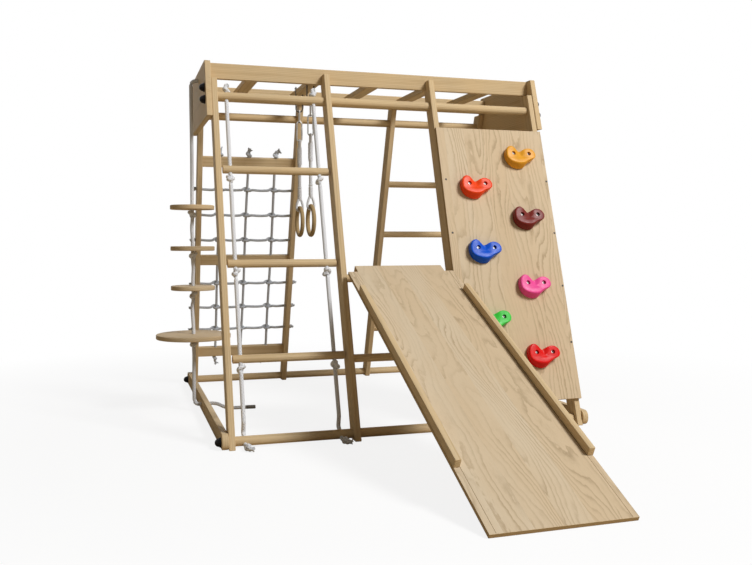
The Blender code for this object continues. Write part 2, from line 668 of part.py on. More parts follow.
def add_seats(frame, plate, base_rail, wood, rope):
    """Four round seats on one knotted rope, which ends at the plate and the base rail."""
    line = Vector((SEAT_ROPE_X, MIDDLE_Y, 0))
    for index, height in enumerate(SEAT_HEIGHTS):
        name = f"rope_seat_{index + 1}"
        radius = LARGE_SEAT_RADIUS if index == len(SEAT_HEIGHTS) - 1 else SMALL_SEAT_RADIUS
        shape = bmesh.new()
        bmesh.ops.create_cone(shape, cap_ends=True, segments=40, radius1=radius, radius2=radius,
                              depth=SEAT_THICKNESS)
        location = line + Vector((0, 0, height))
        seat = add_object(name, mesh_from(name, shape, 40), frame, wood, location)
        bore = [((0, 0, 0), (0, 0, 1), SEAT_BORE_RADIUS, 2 * SEAT_THICKNESS)]
        cutter = add_object(f"{name}_bore", rods_mesh(f"{name}_bore", bore), frame, location=location)
        combine(seat, hide_tool(cutter))
    bore_radius = SEAT_ROPE_RADIUS + ROPE_CLEAR
    holes = [((-STOCK / 2, MIDDLE_Y, height), (1, 0, 0), bore_radius, 2 * STOCK)
             for height in (SEAT_ROPE_HOLE_HEIGHT, BASE_HOLE_HEIGHT)]
    cutter = hide_tool(add_object("seat_rope_bores", rods_mesh("seat_rope_bores", holes), frame))
    combine(plate, cutter)
    combine(base_rail, cutter)
    stations = [((x, MIDDLE_Y, SEAT_ROPE_HOLE_HEIGHT), swell) for x, swell in SEAT_ROPE_TOP_KNOT]
    stations += quarter_turn(SEAT_ROPE_X, SEAT_ROPE_HOLE_HEIGHT, -1)
    hang_start = Vector(stations[-1][0])
    hang_end = line + Vector((0, 0, BASE_HOLE_HEIGHT + SEAT_ROPE_BEND))
    knots = [hang_start.z - height + SEAT_THICKNESS / 2 + KNOT_HALF + GAP for height in SEAT_HEIGHTS]
    stations += straight_stations(hang_start, hang_end, knots, KNOT_HALF, KNOT_SWELL)[1:-1]
    stations += reversed(quarter_turn(SEAT_ROPE_X, BASE_HOLE_HEIGHT, 1))
    stations += [(place, 1.0) for place in smooth_route(SEAT_ROPE_TAIL, SEAT_ROPE_TAIL_STEP)]
    add_object("seat_rope", rope_curve("seat_rope", stations, SEAT_ROPE_RADIUS), frame, rope)


def add_rings(frame, slat, wood, rope, metal):
    """Two rings on ropes that swing from hooks through one slat."""
    across_x, across_y = (1, 0, 0), (0, 1, 0)
    hook_top = SLAT_BOTTOM + SLAT_THICKNESS + HOOK_ABOVE_SLAT - HOOK_BOTTOM
    hook_stations = [((-HOOK_HALF_WIDTH, 0, hook_top), 1.0)]
    for step in range(HOOK_STEPS + 1):
        turn = math.pi * step / HOOK_STEPS
        reach, drop = HOOK_HALF_WIDTH * math.cos(turn), HOOK_HALF_WIDTH * math.sin(turn)
        hook_stations.append(((-reach, 0, HOOK_HALF_WIDTH - drop), 1.0))
    hook_stations.append(((HOOK_HALF_WIDTH, 0, hook_top), 1.0))
    eye_height = RING_CENTRE_HEIGHT + RING_RADIUS - HOOK_BOTTOM
    strand = [((0, 0, height - HOOK_BOTTOM), swell) for height, swell in RING_STRAND]
    lower_eye = half_circle(across_x, EYE_RADIUS, eye_height, math.pi)
    lower_eye += [((share * EYE_RADIUS, 0, height - HOOK_BOTTOM), 1.0) for share, height in LOWER_EYE_TOP]
    loops = [("lower_eye", lower_eye, EYE_ROPE_RADIUS)]
    for label, across, (half_width, low, high, wire) in (("upper_eye", across_y, UPPER_EYE),
                                                         ("snap_link", across_x, SNAP_LINK),
                                                         ("shackle", across_y, SHACKLE)):
        loops.append((label, stadium(across, half_width, low - HOOK_BOTTOM, high - HOOK_BOTTOM), wire))
    circle = []
    for step in range(RING_STEPS):
        turn = math.tau * (step + 0.5) / RING_STEPS
        circle.append(((0, RING_RADIUS * math.sin(turn), RING_RADIUS * (math.cos(turn) - 1)), 1.0))
    for number, y in enumerate(RING_YS, start=1):
        pivot = empty(f"ring_swing_{number}", frame, (RING_X, y, HOOK_BOTTOM))
        name = f"ring_hook_{number}"
        add_object(name, rope_curve(name, hook_stations, HOOK_RADIUS), pivot, metal)
        bores = [((side * HOOK_HALF_WIDTH, 0, SLAT_BOTTOM + SLAT_THICKNESS / 2 - HOOK_BOTTOM), (0, 0, 1),
                  HOOK_RADIUS + 2 * GAP, 2 * SLAT_THICKNESS) for side in (-1, 1)]
        cutter = add_object(f"{name}_bores", rods_mesh(f"{name}_bores", bores), pivot)
        combine(slat, hide_tool(cutter))
        name = f"ring_rope_{number}"
        ring_rope = add_object(name, rope_mesh(name, [strand], RING_ROPE_RADIUS), pivot, rope)
        for label, stations, wire in loops:
            loop_name = f"{name}_{label}"
            tool = add_object(loop_name, rope_mesh(loop_name, [stations], wire, True), pivot)
            combine(ring_rope, hide_tool(tool), "UNION")
        tilt = empty(f"ring_turn_{number}", pivot, (0, 0, eye_height))
        name = f"ring_{number}"
        add_object(name, rope_mesh(name, [circle], RING_TUBE, True), tilt, wood)


def build():
    """Build the whole frame."""
    for old in list(bpy.data.objects):
        bpy.data.objects.remove(old)
    pine = material("pine", (0.70, 0.53, 0.34), 0.55)
    birch = material("birch_plywood", (0.72, 0.58, 0.40), 0.5)
    rope = material("white_rope", (0.78, 0.78, 0.80), 0.85)
    steel = material("dark_steel", (0.12, 0.11, 0.10), 0.35, 1.0)
    hold_colours = {"yellow": (0.95, 0.55, 0.05), "orange": (0.88, 0.10, 0.02),
                    "maroon": (0.20, 0.03, 0.03), "blue": (0.01, 0.09, 0.65),
                    "pink": (0.88, 0.08, 0.35), "green": (0.07, 0.62, 0.08), "red": (0.78, 0.01, 0.01)}
    hold_looks = {name: material(f"{name}_plastic", colour, 0.3) for name, colour in hold_colours.items()}

    lowest_y = -SLIDE_BELOW_RUNG * math.cos(SLIDE_ANGLE) * math.cos(SLIDE_SKEW)
    toe = (SLIDE_LIFT + SLIDE_THICKNESS) * math.sin(SLIDE_ANGLE) * math.cos(SLIDE_SKEW)
    skew_reach = SLIDE_WIDTH / 2 * math.sin(SLIDE_SKEW)
    rung_y = SLOPE * MIDDLE_RUNG_HEIGHTS[0] + POST_RUN / 2
    frame_front = rung_y + lowest_y - toe - skew_reach
    middle = ((FRAME_LEFT + FRAME_RIGHT) / 2, (frame_front + FLOOR_DEPTH) / 2)

    frame = empty("frame_corner", location=(-middle[0], -middle[1], 0))
    front = empty("front_lean", frame, rotation=(-LEAN, 0, 0))
    back = empty("back_lean", frame, (0, FLOOR_DEPTH, 0), (LEAN, 0, 0))

    posts = add_posts(frame, pine)
    plates, slats = add_top(frame, pine)
    base_rails = add_base_rails(frame, pine)
    bars = add_bars(front, back, posts, pine)
    add_rungs(front, back, pine)
    add_rope_ladder(front, bars, pine, rope)
    add_net(back, posts, pine, rope)
    add_wall(front, birch)
    add_holds(front, hold_looks)
    add_slide(frame, birch)
    add_seats(frame, plates[0], base_rails[0], pine, rope)
    add_rings(frame, slats[1], pine, rope, steel)


build()
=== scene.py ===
"""Picture model of the climbing frame with slide.

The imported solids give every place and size. Each wooden solid gets eased edges and
a grain that runs its own way, each plain rope becomes a braided rope with real knots,
and the caps, nuts, screws and snap links that the solids leave out are added.
Metres throughout. Places are stated from the corner of the left front post's foot,
as in the part's source, and at() moves them into the shared frame.
"""

import logging
import math
import random
from collections.abc import Callable, Iterator, Sequence
from contextlib import contextmanager
from dataclasses import dataclass, field
from enum import Enum
from typing import Protocol

import bmesh
import bpy
from mathutils import Euler, Matrix, Vector

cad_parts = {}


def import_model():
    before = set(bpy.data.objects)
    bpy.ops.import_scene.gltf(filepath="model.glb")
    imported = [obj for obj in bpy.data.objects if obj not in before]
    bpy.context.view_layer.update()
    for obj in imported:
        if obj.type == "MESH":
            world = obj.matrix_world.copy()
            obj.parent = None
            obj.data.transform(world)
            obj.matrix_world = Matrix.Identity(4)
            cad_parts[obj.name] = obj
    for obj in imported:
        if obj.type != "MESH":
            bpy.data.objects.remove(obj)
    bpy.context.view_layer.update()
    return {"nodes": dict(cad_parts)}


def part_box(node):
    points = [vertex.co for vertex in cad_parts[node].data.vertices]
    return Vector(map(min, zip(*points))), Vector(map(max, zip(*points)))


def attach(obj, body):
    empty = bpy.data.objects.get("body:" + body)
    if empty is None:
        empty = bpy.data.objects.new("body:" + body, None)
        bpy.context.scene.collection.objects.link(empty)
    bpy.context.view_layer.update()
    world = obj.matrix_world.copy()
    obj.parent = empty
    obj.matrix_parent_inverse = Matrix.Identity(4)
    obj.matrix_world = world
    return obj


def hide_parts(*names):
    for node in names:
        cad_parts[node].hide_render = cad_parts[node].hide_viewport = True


LOG = logging.getLogger("climbing_frame")

X, Y, Z = Vector((1.0, 0.0, 0.0)), Vector((0.0, 1.0, 0.0)), Vector((0.0, 0.0, 1.0))
# The corner of the left front post's foot, in the shared frame
CORNER = Vector((-0.58665, -0.2091683, 0.0))
LEAN = math.radians(18.55)
FLOOR_DEPTH = 1.4452
MIDDLE_Y = FLOOR_DEPTH / 2
STOCK = 0.0225
POST_PITCH = 0.444
LENGTH = 3 * POST_PITCH + STOCK
MID_DEPTH = 0.031
BAR_RADIUS = 0.017
RUNG_RADIUS = 0.015
TOP_BAR_HEIGHT = 1.2631
BASE_BAR_HEIGHT = 0.0228
FACE_GAP = 0.0006
SLIDE_TURN = Euler((math.radians(26), 0.0, math.radians(0.93))).to_matrix()
ROPE_RADIUS = 0.0075
ROPE_KNOT = 0.0046
# From a knot's middle to what it bears on, and to where its rope runs straight again
KNOT_REACH = 0.0193
KNOT_END = 0.028
# A hitch's reaches along its rope, its rise and the radius of its turn, in rope radii
HITCH_FAR, HITCH_NEAR, HITCH_RISE, HITCH_TURN = 4.2, 2.6, 0.8, 1.75
ROPE_STEP = 0.004
NET_STEP = 0.005

Triple = tuple[float, float, float]
Point = Vector | Triple
Colour = Triple
Pair = tuple[float, float]
Pairs = tuple[Pair, ...]
Floats = tuple[float, ...]
Piece = bpy.types.Object
Socket = bpy.types.NodeSocket
Material = bpy.types.Material


def at(x: float, y: float, z: float) -> Vector:
    """A place stated from the frame's corner, in the shared frame."""
    return CORNER + Vector((x, y, z))


class Side(Enum):
    """The front or the back leaning plane, as the sign of its slope."""

    FRONT = 1
    BACK = -1

    def point(self, x: float, run: float, depth: float = MID_DEPTH) -> Vector:
        """A place in the leaning plane, in the shared frame.

        Args:
            x: Place along the length.
            run: Distance up the slope.
            depth: Distance behind the outer face.

        Returns:
            The place.
        """
        y = run * math.sin(LEAN) + depth * math.cos(LEAN)
        z = run * math.cos(LEAN) - depth * math.sin(LEAN)
        return at(x, y if self is Side.FRONT else FLOOR_DEPTH - y, z)

    def up(self) -> Vector:
        """The direction up the slope."""
        return Vector((0.0, self.value * math.sin(LEAN), math.cos(LEAN)))

    def outward(self) -> Vector:
        """The direction out of the plane's outer face."""
        return Vector((0.0, -self.value * math.cos(LEAN), math.sin(LEAN)))


def along(height: float, depth: float = MID_DEPTH) -> float:
    """Distance up a leaning plane to a height, at a depth behind its outer face."""
    return (height + depth * math.sin(LEAN)) / math.cos(LEAN)


def clamped(value: float) -> float:
    """A number held between 0 and 1."""
    return min(1.0, max(0.0, value))


def shaded(colour: Colour, *shares: float) -> Colour:
    """A colour with its parts multiplied by one share, or by one share each."""
    each = shares * 3 if len(shares) == 1 else shares
    return tuple(part * share for part, share in zip(colour, each))


class Run(Enum):
    """Which way a piece's grain runs, as the turn from +Z to it."""

    FRONT_SLOPE = Euler((-LEAN, 0.0, 0.0))
    BACK_SLOPE = Euler((LEAN, 0.0, 0.0))
    LENGTHWISE = Euler((0.0, math.pi / 2, 0.0))
    DEPTHWISE = Euler((-math.pi / 2, 0.0, 0.0))
    DOWN_SLIDE = (SLIDE_TURN @ Euler((-math.pi / 2, 0.0, 0.0)).to_matrix()).to_euler()


@dataclass(frozen=True)
class Fleck:
    """A noise and how a second colour shows through it: from low to high, up to a share."""

    scale: float
    low: float
    high: float
    share: float
    detail: float = 2.0
    rough: float = 0.5
    stretch: Point = (1.0, 1.0, 1.0)


class Wiring:
    """The nodes of a material or world under construction, added one after another."""

    def __init__(self, block: Material | bpy.types.World) -> None:
        """Open the node tree of a new material or world.

        Args:
            block: The new material or world.
        """
        block.use_nodes = True
        self.block = block
        self.tree = block.node_tree

    def feed(self, node: bpy.types.Node, inputs: dict) -> None:
        """Give a node's inputs, by name or number, their values or links.

        Args:
            node: The node.
            inputs: What each input gets.
        """
        for socket, value in inputs.items():
            if isinstance(value, Socket):
                self.tree.links.new(value, node.inputs[socket])
            else:
                node.inputs[socket].default_value = value

    def node(self, kind: str, inputs: dict | None = None, **settings: object) -> bpy.types.Node:
        """Add a node, set its options and feed its inputs.

        Args:
            kind: The node's type name after ShaderNode.
            inputs: Values or output sockets, by the input's name or number.
            settings: The node's own options.

        Returns:
            The new node.
        """
        made = self.tree.nodes.new(f"ShaderNode{kind}")
        for option, value in settings.items():
            setattr(made, option, value)
        self.feed(made, inputs or {})
        return made

    def math(self, operation: str, first: object, second: object = 0.0) -> Socket:
        """The result of one sum on two numbers or sockets."""
        return self.node("Math", {0: first, 1: second}, operation=operation).outputs[0]

    def times(self, first: object, second: object) -> Socket:
        """The product of two numbers or sockets."""
        return self.math("MULTIPLY", first, second)

    def place(self) -> Socket:
        """The Object coordinates."""
        return self.node("TexCoord").outputs["Object"]

    def grain(self, run: Run, pith: Point = (0.0, 0.0, 0.0)) -> Socket:
        """The Object coordinates about the pith, turned so that the grain runs along Z."""
        inputs = {"Vector": self.place(), "Location": pith, "Rotation": run.value}
        return self.node("Mapping", inputs, vector_type="TEXTURE").outputs[0]

    def stretch(self, vector: Socket, scale: Point) -> Socket:
        """A vector with each part multiplied by its own number."""
        return self.node("VectorMath", {0: vector, 1: scale}, operation="MULTIPLY").outputs[0]

    def noise(self, vector: Socket, scale: float, detail: float = 2.0, rough: float = 0.5,
              bend: float = 0.0) -> Socket:
        """The value of a noise over a vector.

        Args:
            vector: Its coordinates.
            scale: Its frequency.
            detail: Its octaves.
            rough: How strong the finer ones are.
            bend: How far it is distorted.

        Returns:
            The value.
        """
        inputs = {"Vector": vector, "Scale": scale, "Detail": detail, "Roughness": rough,
                  "Distortion": bend}
        return self.node("TexNoise", inputs).outputs[0]

    def remap(self, value: Socket, low: float, high: float, new_low: float = 0.0,
              new_high: float = 1.0) -> Socket:
        """A number moved from one range into another, and held inside it."""
        inputs = {0: value, 1: low, 2: high, 3: new_low, 4: new_high}
        return self.node("MapRange", inputs).outputs[0]

    def mix(self, share: object, first: object, second: object) -> Socket:
        """A colour between two colours or sockets, by the second one's share."""
        ends = [(*end, 1.0) if isinstance(end, tuple) else end for end in (first, second)]
        return self.node("Mix", {0: share, 6: ends[0], 7: ends[1]}, data_type="RGBA").outputs[2]

    def fleck(self, vector: Socket, kind: Fleck, base: object,
              over: object) -> tuple[Socket, Socket]:
        """Lay a second colour over a first one in flecks.

        Args:
            vector: The coordinates of the noise.
            kind: The flecks' size and strength.
            base: The first colour or its socket.
            over: The second colour or its socket.

        Returns:
            The mixed colour and the bare noise.
        """
        stretched = self.stretch(vector, kind.stretch)
        value = self.noise(stretched, kind.scale, kind.detail, kind.rough)
        share = self.remap(value, kind.low, kind.high, 0.0, kind.share)
        return self.mix(share, base, over), value

    def finish(self, colour: Socket, roughness: object, height: Socket, relief: float,
               strength: float, **fixed: float) -> Material:
        """Feed the material's shader and return the material.

        Args:
            colour: The base colour.
            roughness: A number or socket.
            height: A socket that raises the surface.
            relief: How far the full height raises it, in metres.
            strength: How strongly the relief shows.
            fixed: Values that are the same all over, by the shader socket's name.

        Returns:
            The finished material.
        """
        bump = self.node("Bump", {"Height": height, "Distance": relief, "Strength": strength})
        inputs = {socket.replace("_", " "): value for socket, value in fixed.items()}
        inputs |= {"Base Color": colour, "Roughness": roughness, "Normal": bump.outputs[0]}
        self.feed(self.tree.nodes["Principled BSDF"], inputs)
        return self.block


class Recipe(Protocol):
    """A finish that can be built as a material."""

    def make(self) -> Material:
        """Build the material."""


def new_sheet(name: str) -> Wiring:
    """A new material's wiring."""
    return Wiring(bpy.data.materials.new(name))


@dataclass(frozen=True)
class Softwood:
    """Sanded, clear-varnished softwood with straight growth rings."""

    run: Run
    pale: Colour = (0.635, 0.495, 0.305)
    ring: Colour = (0.43, 0.30, 0.155)
    pith: Point = (0.055, 0.083, 0.0)
    streaks: Fleck = Fleck(60.0, 0.52, 0.72, 0.45, 3.0, 0.55, (1.0, 1.0, 0.05))
    clouds: Fleck = Fleck(5.0, 0.35, 0.7, 0.5)
    fibres: Fleck = Fleck(900.0, 0.6, 0.78, 0.35, 3.0, 0.6, (1.0, 1.0, 0.02))

    def make(self) -> Material:
        """Build the material on Object coordinates turned to the grain.

        Returns:
            The finished material.
        """
        sheet = new_sheet(f"softwood_{self.run.name.lower()}_{round(self.pale[0] * 100)}")
        grain = sheet.grain(self.run, self.pith)
        inputs = {"Vector": sheet.stretch(grain, (1.0, 1.0, 0.045)), "Scale": 46.0,
                  "Distortion": 7.0, "Detail": 3.0, "Detail Scale": 0.35,
                  "Detail Roughness": 0.55}
        rings = sheet.node("TexWave", inputs, wave_type="RINGS", rings_direction="Z",
                           wave_profile="SAW").outputs[1]
        late = sheet.remap(rings, 0.45, 1.0)
        tone = sheet.mix(sheet.times(late, 0.55), self.pale, self.ring)
        tone, _ = sheet.fleck(grain, self.streaks, tone, self.ring)
        tone, _ = sheet.fleck(grain, self.clouds, tone, shaded(self.pale, 1.06, 0.98, 0.86))
        tone, fibre = sheet.fleck(grain, self.fibres, tone, shaded(self.ring, 0.62))
        rough = sheet.remap(sheet.math("ADD", fibre, late), 0.4, 1.6, 0.42, 0.6)
        height = sheet.math("SUBTRACT", sheet.times(late, 0.5), fibre)
        return sheet.finish(tone, rough, height, 0.0003, 0.35, Specular_IOR_Level=0.02)


@dataclass(frozen=True)
class PlyFace:
    """The face of a pale panel, laid in strips whose figure is drawn out like flames."""

    run: Run
    pale: Colour = (0.64, 0.53, 0.38)
    line: Colour = (0.40, 0.30, 0.185)
    strip: float = 0.084
    lines_per_metre: float = 44.0
    flow_lines: float = 15.0
    wobble_lines: float = 0.75
    clouds: Fleck = Fleck(9.0, 0.38, 0.66, 0.55, stretch=(1.0, 1.0, 0.25))
    pores: Fleck = Fleck(1000.0, 0.56, 0.76, 0.35, 3.0, 0.6, (1.0, 1.0, 0.03))

    def figure(self, sheet: Wiring, strips: Socket, across: Socket) -> Socket:
        """The dark lines of the figure.

        Args:
            sheet: The material's wiring.
            strips: Coordinates with each strip moved to a figure of its own.
            across: Distance across the grain.

        Returns:
            How dark the line is.
        """
        flow = sheet.noise(sheet.stretch(strips, (1.0, 1.0, 0.22)), 7.0, 2.0, 0.42, 0.2)
        wobble = sheet.noise(sheet.stretch(strips, (1.0, 1.0, 0.4)), 70.0, 2.0, 0.6)
        level = sheet.times(across, self.lines_per_metre)
        for wave, lines in ((flow, self.flow_lines), (wobble, self.wobble_lines)):
            level = sheet.math("ADD", level, sheet.times(wave, lines))
        saw = sheet.math("FRACT", level)
        rise = sheet.math("POWER", sheet.remap(saw, 0.3, 0.88), 2.2)
        line = sheet.times(rise, sheet.remap(saw, 0.88, 1.0, 1.0, 0.0))
        patches = sheet.noise(sheet.stretch(strips, (1.0, 1.0, 0.2)), 11.0)
        return sheet.times(line, sheet.remap(patches, 0.38, 0.62, 0.2, 1.0))

    def make(self) -> Material:
        """Build the material on Object coordinates turned to the grain.

        Returns:
            The finished material.
        """
        sheet = new_sheet(f"ply_face_{self.run.name.lower()}")
        grain = sheet.grain(self.run)
        across, _, down = sheet.node("SeparateXYZ", {0: grain}).outputs
        strip = sheet.math("FLOOR", sheet.math("DIVIDE", across, self.strip))
        own = sheet.node("TexWhiteNoise", {"W": strip}, noise_dimensions="1D").outputs["Value"]
        inputs = {0: across, 1: sheet.times(own, 3.0), 2: down}
        strips = sheet.node("CombineXYZ", inputs).outputs[0]
        line = self.figure(sheet, strips, across)
        warm = shaded(self.pale, 0.94, 0.87, 0.78)
        tone = sheet.mix(sheet.times(own, 0.8), self.pale, warm)
        tone, _ = sheet.fleck(strips, self.clouds, tone, warm)
        tone = sheet.mix(sheet.times(line, 0.85), tone, self.line)
        tone, pore = sheet.fleck(grain, self.pores, tone, self.line)
        rough = sheet.remap(line, 0.0, 1.0, 0.5, 0.66)
        height = sheet.math("SUBTRACT", sheet.times(pore, -0.4), line)
        return sheet.finish(tone, rough, height, 0.0004, 0.4, Specular_IOR_Level=0.05)


@dataclass(frozen=True)
class PlyEdge:
    """The cut edge of plywood, with its layers as light and dark lines."""

    run: Run
    pale: Colour = (0.50, 0.36, 0.19)
    glue: Colour = (0.27, 0.18, 0.095)
    layer: float = 0.0021
    fibres: Fleck = Fleck(700.0, 0.5, 0.75, 0.4, 2.0, 0.6, (1.0, 0.4, 1.0))

    def make(self) -> Material:
        """Build the material from the distance through the board's thickness.

        Returns:
            The finished material.
        """
        sheet = new_sheet(f"ply_edge_{self.run.name.lower()}")
        grain = sheet.grain(self.run)
        depth = sheet.node("SeparateXYZ", {0: grain}).outputs[1]
        wander = sheet.times(sheet.noise(grain, 30.0), 0.25)
        through = sheet.math("ADD", sheet.math("DIVIDE", depth, self.layer), wander)
        layer = sheet.math("PINGPONG", through, 1.0)
        seam = sheet.times(sheet.remap(layer, 0.78, 0.98), 0.6)
        tone = sheet.mix(sheet.remap(layer, 0.2, 0.5, 0.0, 0.35), self.pale, self.glue)
        tone = sheet.mix(seam, tone, self.glue)
        tone, fibre = sheet.fleck(grain, self.fibres, tone, self.glue)
        return sheet.finish(tone, 0.7, fibre, 0.0003, 0.4, Specular_IOR_Level=0.04)


@dataclass(frozen=True)
class Braid:
    """Braided rope, whose plaits follow the rope's own map in metres. The grooves between the
    plaits are coloured darker as painted shade.
    """

    name: str
    thread: Colour
    # Painted shade for the grooves between plaits; the same colour also darkens the fuzz flecks
    crease_shade_and_fuzz: Colour
    plaits: int = 8
    lay: float = 0.011
    soil: Fleck = Fleck(18.0, 0.4, 0.7, 0.5)
    fuzz: Fleck = Fleck(1500.0, 0.55, 0.8, 0.25, 2.0, 0.6)

    def make(self) -> Material:
        """Build the material on the rope's map: once round is 1, along it is in metres.

        Returns:
            The finished material.
        """
        sheet = new_sheet(self.name)
        spot = sheet.node("SeparateXYZ", {0: sheet.node("UVMap", uv_map="rope_map").outputs[0]})
        around = sheet.times(spot.outputs[0], math.tau * self.plaits / 2)
        run = sheet.times(spot.outputs[1], math.tau / self.lay)
        right, left = (sheet.math("SINE", sheet.math(way, around, run))
                       for way in ("ADD", "SUBTRACT"))
        weave = sheet.remap(sheet.math("MAXIMUM", right, left), -0.6, 1.0)
        place = sheet.place()
        # Painted shade: the weave darkens the grooves between the plaits towards the crease colour
        tone = sheet.mix(weave, self.crease_shade_and_fuzz, self.thread)
        tone, _ = sheet.fleck(place, self.soil, tone, shaded(self.thread, 0.86))
        tone, fuzz = sheet.fleck(place, self.fuzz, tone, self.crease_shade_and_fuzz)
        height = sheet.math("ADD", weave, sheet.times(fuzz, 0.35))
        return sheet.finish(tone, 0.82, height, 0.0009, 0.6, Specular_IOR_Level=0.2)


@dataclass(frozen=True)
class Plastic:
    """Moulded plastic of one colour, satin with a fine grit."""

    name: str
    colour: Colour
    mottle: Fleck = Fleck(45.0, 0.35, 0.7, 0.55, 3.0)
    grit: Fleck = Fleck(1400.0, 0.55, 0.8, 0.2, 2.0, 0.6)

    def make(self) -> Material:
        """Build the material with faint mottling and a fine grit.

        Returns:
            The finished material.
        """
        sheet = new_sheet(f"{self.name}_moulding")
        place, deep = sheet.place(), shaded(self.colour, 0.72)
        tone, mottle = sheet.fleck(place, self.mottle, self.colour, deep)
        tone, grit = sheet.fleck(place, self.grit, tone, deep)
        rough = sheet.remap(mottle, 0.3, 0.7, 0.24, 0.36)
        return sheet.finish(tone, rough, grit, 0.0002, 0.3, Specular_IOR_Level=0.1)


@dataclass(frozen=True)
class Metal:
    """Plated or blackened steel with faint wear."""

    name: str
    colour: Colour
    worn: Colour
    roughness: float = 0.28
    wear: Fleck = Fleck(160.0, 0.42, 0.68, 1.0, 3.0)

    def make(self) -> Material:
        """Build the material with cloudy wear and fine scratches.

        Returns:
            The finished material.
        """
        sheet = new_sheet(self.name)
        place = sheet.place()
        tone, cloud = sheet.fleck(place, self.wear, self.colour, self.worn)
        scratch = sheet.noise(sheet.stretch(place, (1.0, 1.0, 0.1)), 2600.0)
        rough = sheet.remap(cloud, 0.3, 0.7, self.roughness, self.roughness + 0.18)
        return sheet.finish(tone, rough, scratch, 0.0001, 0.25, Metallic=0.92)


BRIGHT_STEEL = Metal("bright_steel", (0.56, 0.56, 0.55), (0.40, 0.39, 0.37))
SCREW_STEEL = Metal("screw_steel", (0.44, 0.43, 0.42), (0.28, 0.27, 0.26), 0.36)
DARK_STEEL = Metal("dark_steel_wire", (0.06, 0.055, 0.05), (0.16, 0.14, 0.12), 0.35)
BLACK_CAP = Plastic("black_cap", (0.014, 0.013, 0.013))
WHITE_ROPE = Braid("white_braid", (0.81, 0.83, 0.86), (0.48, 0.50, 0.55))
# The net rope is the white rope coloured darker and bluer as painted shade, for the net that hangs
# in shade
NET_ROPE_SHADED = Braid("grey_white_braid", (0.63, 0.67, 0.73), (0.34, 0.37, 0.42), 6, 0.010)
CUT_END = Plastic("melted_rope_end", (0.22, 0.21, 0.20))


def deselect() -> None:
    """Leave nothing selected."""
    for piece in list(bpy.context.selected_objects):
        piece.select_set(False)


def work_on(piece: Piece) -> None:
    """Make a piece the only selected and the active one.

    Args:
        piece: The piece.
    """
    deselect()
    piece.select_set(True)
    bpy.context.view_layer.objects.active = piece


@contextmanager
def editing(piece: Piece) -> Iterator[bmesh.types.BMesh]:
    """Open a piece in edit mode with nothing selected, and close it afterwards.

    Args:
        piece: The piece.

    Yields:
        Its edit mesh.
    """
    work_on(piece)
    bpy.ops.object.mode_set(mode="EDIT")
    bpy.ops.mesh.select_all(action="DESELECT")
    yield bmesh.from_edit_mesh(piece.data)
    bpy.ops.object.mode_set(mode="OBJECT")


def pick_edges(test: Callable[[bmesh.types.BMEdge], bool]) -> None:
    """Select the edit mesh's edges that pass a test, and no others.

    Args:
        test: What an edge has to pass.
    """
    bpy.ops.mesh.select_mode(type="EDGE")
    bpy.ops.mesh.select_all(action="DESELECT")
    mesh = bpy.context.edit_object.data
    shape = bmesh.from_edit_mesh(mesh)
    for edge in shape.edges:
        edge.select = test(edge)
    shape.select_flush_mode()
    bmesh.update_edit_mesh(mesh)


def is_corner(edge: bmesh.types.BMEdge) -> bool:
    """True for an edge where two faces meet at more than 50 degrees."""
    return len(edge.link_faces) == 2 and edge.calc_face_angle() > math.radians(50)


def reach_x(edge: bmesh.types.BMEdge) -> float:
    """How far an edge reaches along X."""
    return abs(edge.verts[0].co.x - edge.verts[1].co.x)


def added(name: str, data: bpy.types.ID) -> Piece:
    """A new object at the origin for some data.

    Args:
        name: The object's name.
        data: A mesh, curve, camera or light.

    Returns:
        The object.
    """
    piece = bpy.data.objects.new(name, data)
    bpy.context.scene.collection.objects.link(piece)
    return piece


def fresh(name: str) -> Piece:
    """Name the piece that an operator has just added, and put its place into its mesh.

    Args:
        name: The piece's name.

    Returns:
        The piece.
    """
    piece = bpy.context.object
    piece.name = name
    bpy.ops.object.transform_apply()
    return piece


def apply_modifier(piece: Piece, kind: str, **settings: object) -> None:
    """Add one modifier, set it and apply it.

    Args:
        piece: The piece.
        kind: The modifier's type.
        settings: The modifier's own options.
    """
    work_on(piece)
    bpy.ops.object.modifier_add(type=kind)
    step = piece.modifiers[-1]
    for option, value in settings.items():
        setattr(step, option, value)
    bpy.ops.object.modifier_apply(modifier=step.name)


def shade(piece: Piece, degrees: float = 40.0, weighted: bool = True) -> Piece:
    """Shade a piece smooth, but for edges sharper than an angle.

    Args:
        piece: The piece.
        degrees: The angle.
        weighted: True to weight the normals by the size of the faces.

    Returns:
        The piece.
    """
    work_on(piece)
    bpy.ops.object.shade_smooth_by_angle(angle=math.radians(degrees))
    if weighted:
        apply_modifier(piece, "WEIGHTED_NORMAL", keep_sharp=True)
    return piece


def settle(piece: Piece, centre: Point, axis: Point) -> None:
    """Turn a piece's +Z to an axis, move it, and put its place into its mesh.

    Args:
        piece: The piece.
        centre: Where its origin goes.
        axis: The new direction of its +Z.
    """
    piece.rotation_mode = "QUATERNION"
    piece.rotation_quaternion = Z.rotation_difference(Vector(axis))
    piece.location = Vector(centre)
    work_on(piece)
    bpy.ops.object.transform_apply()


